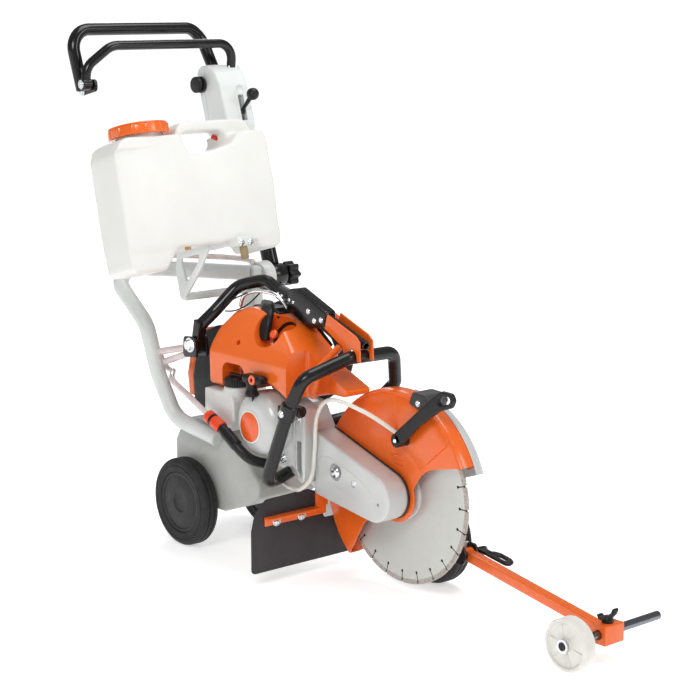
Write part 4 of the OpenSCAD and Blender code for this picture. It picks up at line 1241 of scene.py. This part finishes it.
def make_belt_cover():
    side = [(524, 234), (345.5, 291), (345.5, 167.5), (505, 146)]
    outline = nose(ARM_R, side)
    cover = plate("cover_plate", outline, -78, -29, 1)
    boss = moulded("cover_boss", [cover], 2, 12)
    oval = [(362, 238), (388, 243), (430, 232), (478, 214), (506, 197), (508, 188), (492, 182),
            (440, 190), (384, 203), (360, 218)]
    loop = rounded(oval, 12)
    groove = plate("oval_groove", loop, -84, -70, 1)
    raised = plate("oval_raise", inset(loop, 6), -78.6, -68, 2.4, steps=6)
    pin_hole = lathe("pin_hole", [(0, -3), (3, -3), (3, 6), (0, 6)], (528, -79, 183), sides=20)
    well = lathe("bolt_well", [(0, -6), (18, -6), (16, 4.4), (0, 4.4)], (408, -78, 222), sides=48)
    small_well = lathe("screw_well", [(0, -6), (8, -6), (7, 3), (0, 3)], (459, -78, 209), sides=36)
    cut(boss, [groove, pin_hole], 45)
    cut(raised, [well, small_well], 45)
    piece("belt_cover_look", [boss, raised], "root", "white_cover", "belt_cover")
    big = lathe("cover_bolt", [(0, -9), (7, -9), (9.4, -8.2), (11.6, -5.4), (12, 0), (0, 0)],
                (408, -74.4, 222), (0, 1, 0), 48)
    fit(big, "root", "steel", look="zinc")
    small = screw((459, -75.4, 209), (0, -1, 0), 5, 2.5, 28, 7, "zinc")
    fit(small, "root", "steel")


def make_blade():
    count = 24
    rim, slot_r, slot_w = 175.0, 153.0, 1.0
    outline = []
    for k in range(count):
        mid = 360 * k / count
        half = math.degrees(slot_w / rim)
        hole = (slot_r * math.cos(math.radians(mid)), slot_r * math.sin(math.radians(mid)))
        outline += arc((0, 0), rim - 7, mid - 360 / count + half, mid - half, 10)
        outline += arc(hole, 3, mid - 19.5, mid - 340.5, 12)
    points = [(BLADE.x + x, BLADE.z + z) for x, z in outline]
    core = plate("blade_core", points, -1.4, 1.4, 0.25, [circle(BLADE_HUB, 10, 40)], steps=1)
    parts = [coloured(core, "blade_steel")]
    for k in range(count):
        start = 360 * k / count + 0.6
        seg = lathe("segment", [(rim - 9, -1.7), (rim, -1.7), (rim, 1.7), (rim - 9, 1.7)],
                    (BLADE.x, 0, BLADE.z), sides=8, start=start, sweep=360 / count - 1.2)
        parts.append(coloured(seg, "segment"))
        # Painted shade: a dark fill, sunk a little inside each slot, stands for the shadow seen
        # through the open slot.
        t = math.radians(360 * k / count)
        turn = Matrix.Translation((BLADE.x, 0, BLADE.z)) @ Matrix.Rotation(-t, 4, "Y")
        parts.append(coloured(brick("slot_painted_shade", (150.5, -0.9, -2.6), (rim - 3, 0.9, 2.6), 0.3,
                                    turn), "painted_shade_black"))
    piece("blade_look", parts, "blade_set", "blade_steel", "blade")
    outer = lathe("flange_outer", [(10, 0), (FLANGE_R, 0), (FLANGE_R, -2.4), (FLANGE_R - 3, -4),
                                   (30, -5), (26, -8.5), (10, -8.5)], (BLADE.x, -1.5, BLADE.z),
                  sides=96)
    inner = lathe("flange_inner", [(10, 0), (FLANGE_R, 0), (FLANGE_R, 2.4), (FLANGE_R - 3, 4),
                                   (30, 5), (26, 8.5), (10, 8.5)], (BLADE.x, 1.5, BLADE.z),
                  sides=96)
    piece("flanges_look", [outer, inner], "blade_set", "steel", "blade_flanges", look="plate_grey")


GUARD_R, GUARD_FAR_R = 198, 185
GUARD_FROM, GUARD_TO = 25, 228


def make_guard():
    c = BLADE_HUB
    low = [(c[0] - 118, c[1] - 128), (c[0] - 92, c[1] - 84), (c[0] - 62, c[1] - 48)]
    front = [(c[0] + 60, c[1] + 34), (c[0] + 72, c[1] + 49), (c[0] + 88, c[1] + 60),
             (c[0] + 106, c[1] + 67), (c[0] + 126, c[1] + 72), (c[0] + 150, c[1] + 77)]
    outline = [*arc(c, GUARD_R - 3, GUARD_FROM, GUARD_TO, 60), *low, *arc(c, 54, 232, 380, 24),
               *front]
    face = plate("guard_face", outline, -22, -19, 1, [circle(c, 30.3, 48)])
    skirt = [(GUARD_R - 12, -22), (GUARD_R - 4.5, -21.2), (GUARD_R - 1.2, -18.6), (GUARD_R, -14),
             (GUARD_R, 8), (GUARD_FAR_R, 34), (GUARD_FAR_R - 1, 36), (GUARD_FAR_R - 3, 37),
             (150, 37), (150, 34.5), (GUARD_FAR_R - 4.5, 34.5), (GUARD_R - 3, 8),
             (GUARD_R - 3, -14), (GUARD_R - 4.6, -17), (GUARD_R - 12, -19)]
    rim = lathe("guard_rim", skirt, (BLADE.x, 0, BLADE.z), sides=96, start=GUARD_FROM,
                sweep=GUARD_TO - GUARD_FROM)
    swell = [(88, -21.5), (100, -23.6), (120, -25.2), (150, -26), (172, -25.4), (184, -24),
             (190, -21.5)]
    bulge = lathe("guard_bulge", swell, (BLADE.x, 0, BLADE.z), sides=96, start=GUARD_FROM + 15,
                  sweep=49)
    bead = lathe("guard_bead", [(GUARD_R - 7, -21.6), (GUARD_R - 6.4, -24), (GUARD_R - 4.4, -24.6),
                                (GUARD_R - 2.4, -23.4), (GUARD_R - 2, -19)], (BLADE.x, 0, BLADE.z),
                 sides=96, start=GUARD_FROM, sweep=95)
    ribs = [brick("guard_rib", (500 + 5 * k, -23.7, 264 - 9 * k), (526 + 5 * k, -20, 268 - 9 * k),
                  1) for k in range(3)]
    piece("guard_look", [face, rim, bulge, bead, *ribs], "guard_set", "orange_paint", "guard")


def make_guard_panel():
    """Pale shell over the front of the guard's left half."""
    c = BLADE_HUB
    profile = [(GUARD_R + 0.6, 7), (GUARD_R + 2, 8), (GUARD_R + 2, 11), (GUARD_FAR_R + 3.5, 34),
               (GUARD_FAR_R, 38), (GUARD_FAR_R - 4, 38.9), (GUARD_FAR_R - 9, 38.9),
               (GUARD_FAR_R - 9, 37.8), (GUARD_FAR_R - 4, 37.6), (GUARD_FAR_R + 0.8, 34),
               (GUARD_R + 0.6, 9)]
    shell = lathe("panel_shell", profile, (BLADE.x, 0, BLADE.z), sides=84, start=20, sweep=64)
    flat = plate("panel_flat", rounded([*arc(c, 128, 82, 20, 24),
                                        *arc(c, GUARD_FAR_R - 6, 20, 82, 24)], 12), 37.2, 39.4,
                 0.8)
    piece("guard_panel_look", [shell, flat], "guard_set", "pale_paint", "guard_panel",
          look="panel_grey")


def make_guard_lever():
    ribbed = [(0, 0), (11, 0), (13, 1.5), (13, 6), (11, 7), (11, 9), (12.6, 9.6), (12.6, 13),
              (11, 13.6), (11, 16), (12.6, 16.6), (12.6, 20), (11, 20.6), (11, 23), (13, 24),
              (13, 28), (0, 28)]
    pivot = lathe("lever_pivot", ribbed, (543, -50, 303), sides=44)
    outline = rounded([(536, 314), (552, 292), (600, 338), (656, 377), (688, 388), (695, 402),
                       (688, 414), (662, 415), (640, 400)], 9)
    loop = rounded([(652, 392), (664, 390), (680, 394), (686, 401), (681, 407), (664, 406)], 4)
    handle = plate("lever_arm", outline, -50, -39, 3.2, [loop], steps=5)
    piece("guard_lever_look", [pivot, handle], "guard_set", "black_plastic", "guard_lever")
    fit(screw((543, -50, 303), (0, -1, 0), 3.6, 2, 28, 4, "chrome"), "guard_set", "steel")


def make_guard_grip():
    """Block on the guard's rim that the lever and its grip are screwed to."""
    block = plate("grip_block", [(556, 372), (600, 358), (612, 382), (600, 394), (566, 396)], -30,
                  20, 1)
    soft = moulded("grip_soft", [block], 2.2, 8)
    fit(soft, "guard_set", "black_plastic", look="grip_grey")
    fit(screw((582, -29, 376), (0, -1, 0), 4.5, 3, 28, 6, "zinc"), "guard_set", "steel")


make_bearer_arm()
make_belt_cover()
make_blade()
make_guard()
make_guard_panel()
make_guard_lever()
make_guard_grip()

# ---- hoses and cables ----

HOSE_ROUTE = [(20, 30, 569), (-30, 30, 571), (-100, -30, 574), (-176, -116, 574),
              (-195, -148, 548), (-158, -150, 500), (-112, -142, 440), (-94, -130, 390),
              (-82, -120, 356), (-56, -120, 350), (-30, -140, 350), (4, -162, 344),
              (70, -168, 322), (131, -170, 297)]
GUARD_HOSE_ROUTE = [(280, -112, 190), (308, -113, 179.5), (342, -112, 180.5), (357, -95, 206),
                    (358, -88, 255), (376, -96, 330), (420, -98, 366), (474, -62, 346),
                    (522, -28, 311)]
CABLE_ROUTE = [(43, 26, 520), (90, 2, 526), (150, -6, 526), (210, -8, 524), (244, 0, 514),
               (256, 5, 507)]


def make_hoses():
    fit(tube("water_hose_look", smooth(HOSE_ROUTE, 8), 6, 20, 0.8), "root", "clear_hose",
        "water_hose")
    guard_hose = tube("guard_hose_look", smooth(GUARD_HOSE_ROUTE, 8), 4, 16, 0.5)
    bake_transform(coloured(guard_hose, "white_hose"))
    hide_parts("guard_hose")
    fit(tube("throttle_cable_look", smooth(CABLE_ROUTE, 8), 2.5, 12, 0.3), "root", "black_plastic",
        "throttle_cable")


def make_coupling():
    start, stop = Vector((131, -170, 297)), Vector((178, -170, 279))
    along = (stop - start).normalized()
    length = (stop - start).length
    profile = [(0, 0), (11, 0), (13, 2), (13, 12), (11.6, 13.5), (11.6, 16.5)]
    profile += [(11.6, 22), (13, 23.5), (13, length - 6), (12, length - 2), (0, length - 2)]
    body = lathe("coupling_body", profile, start, along, 48)
    ring = lathe("coupling_ring", [(10, 0), (12.6, 0.5), (12.6, 5.5), (10, 6)], start + along * 15,
                 along, 48)
    nozzle = tube("coupling_duct", smooth([stop - along * 3, (218, -170, 254), (246, -154, 228),
                                           (262, -116, 214)], 8), [10.5] * 6 + [10] * 20, 28, 1)
    collar = tube("coupling_collar", [(186, -170, 274), (222, -169, 252)], 11.8, 28, 1.5)
    piece("hose_coupling_look", [coloured(body, "red_plastic"), coloured(ring, "black_plastic"),
                                 coloured(nozzle, "black_plastic"),
                                 coloured(collar, "black_plastic")], "root", "orange_plastic",
          "hose_coupling")


make_hoses()
make_coupling()

# ---- CAD nodes that stay, and the floor ----

KEPT = {"rear_axle": "steel", "front_axle": "steel", "cylinder": "cast_alloy",
        "crankshaft": "steel", "drive_belt": "black_rubber", "spindle": "steel"}
for node, look in KEPT.items():
    coloured(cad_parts[node], look)


def make_floor():
    """Pale floor out to the horizon that glows, a little brighter far away than round the machine:
    painted light, with painted shade round the machine.
    """
    half = 700
    mesh = bpy.data.meshes.new("floor")
    mesh.from_pydata([(-half, -half, 0), (half, -half, 0), (half, half, 0), (-half, half, 0)], [],
                     [(0, 1, 2, 3)])
    floor = add_object("floor", mesh)
    tree, shader = finish("floor_paint_and_painted_glow", (0.93, 0.93, 0.93), 0.7, mottle=0.004, mottle_mm=600,
                          grain=0.02)
    shader.inputs["Emission Color"].default_value = (1, 1, 1, 1)
    away = tree.nodes.new("ShaderNodeVectorMath")
    away.operation = "LENGTH"
    tree.links.new(tree.nodes.new("ShaderNodeTexCoord").outputs["Object"], away.inputs[0])
    # Painted shade: the floor's glow is weaker near the machine, darkening the floor round it like
    # a shadow.
    near, far = 0.5, 3.5
    painted_glow = spread(tree, away.outputs["Value"], 0.52, 0.8, near, far)
    tree.links.new(painted_glow, shader.inputs["Emission Strength"])
    floor.data.materials.append(LOOKS["floor_paint_and_painted_glow"])


make_floor()
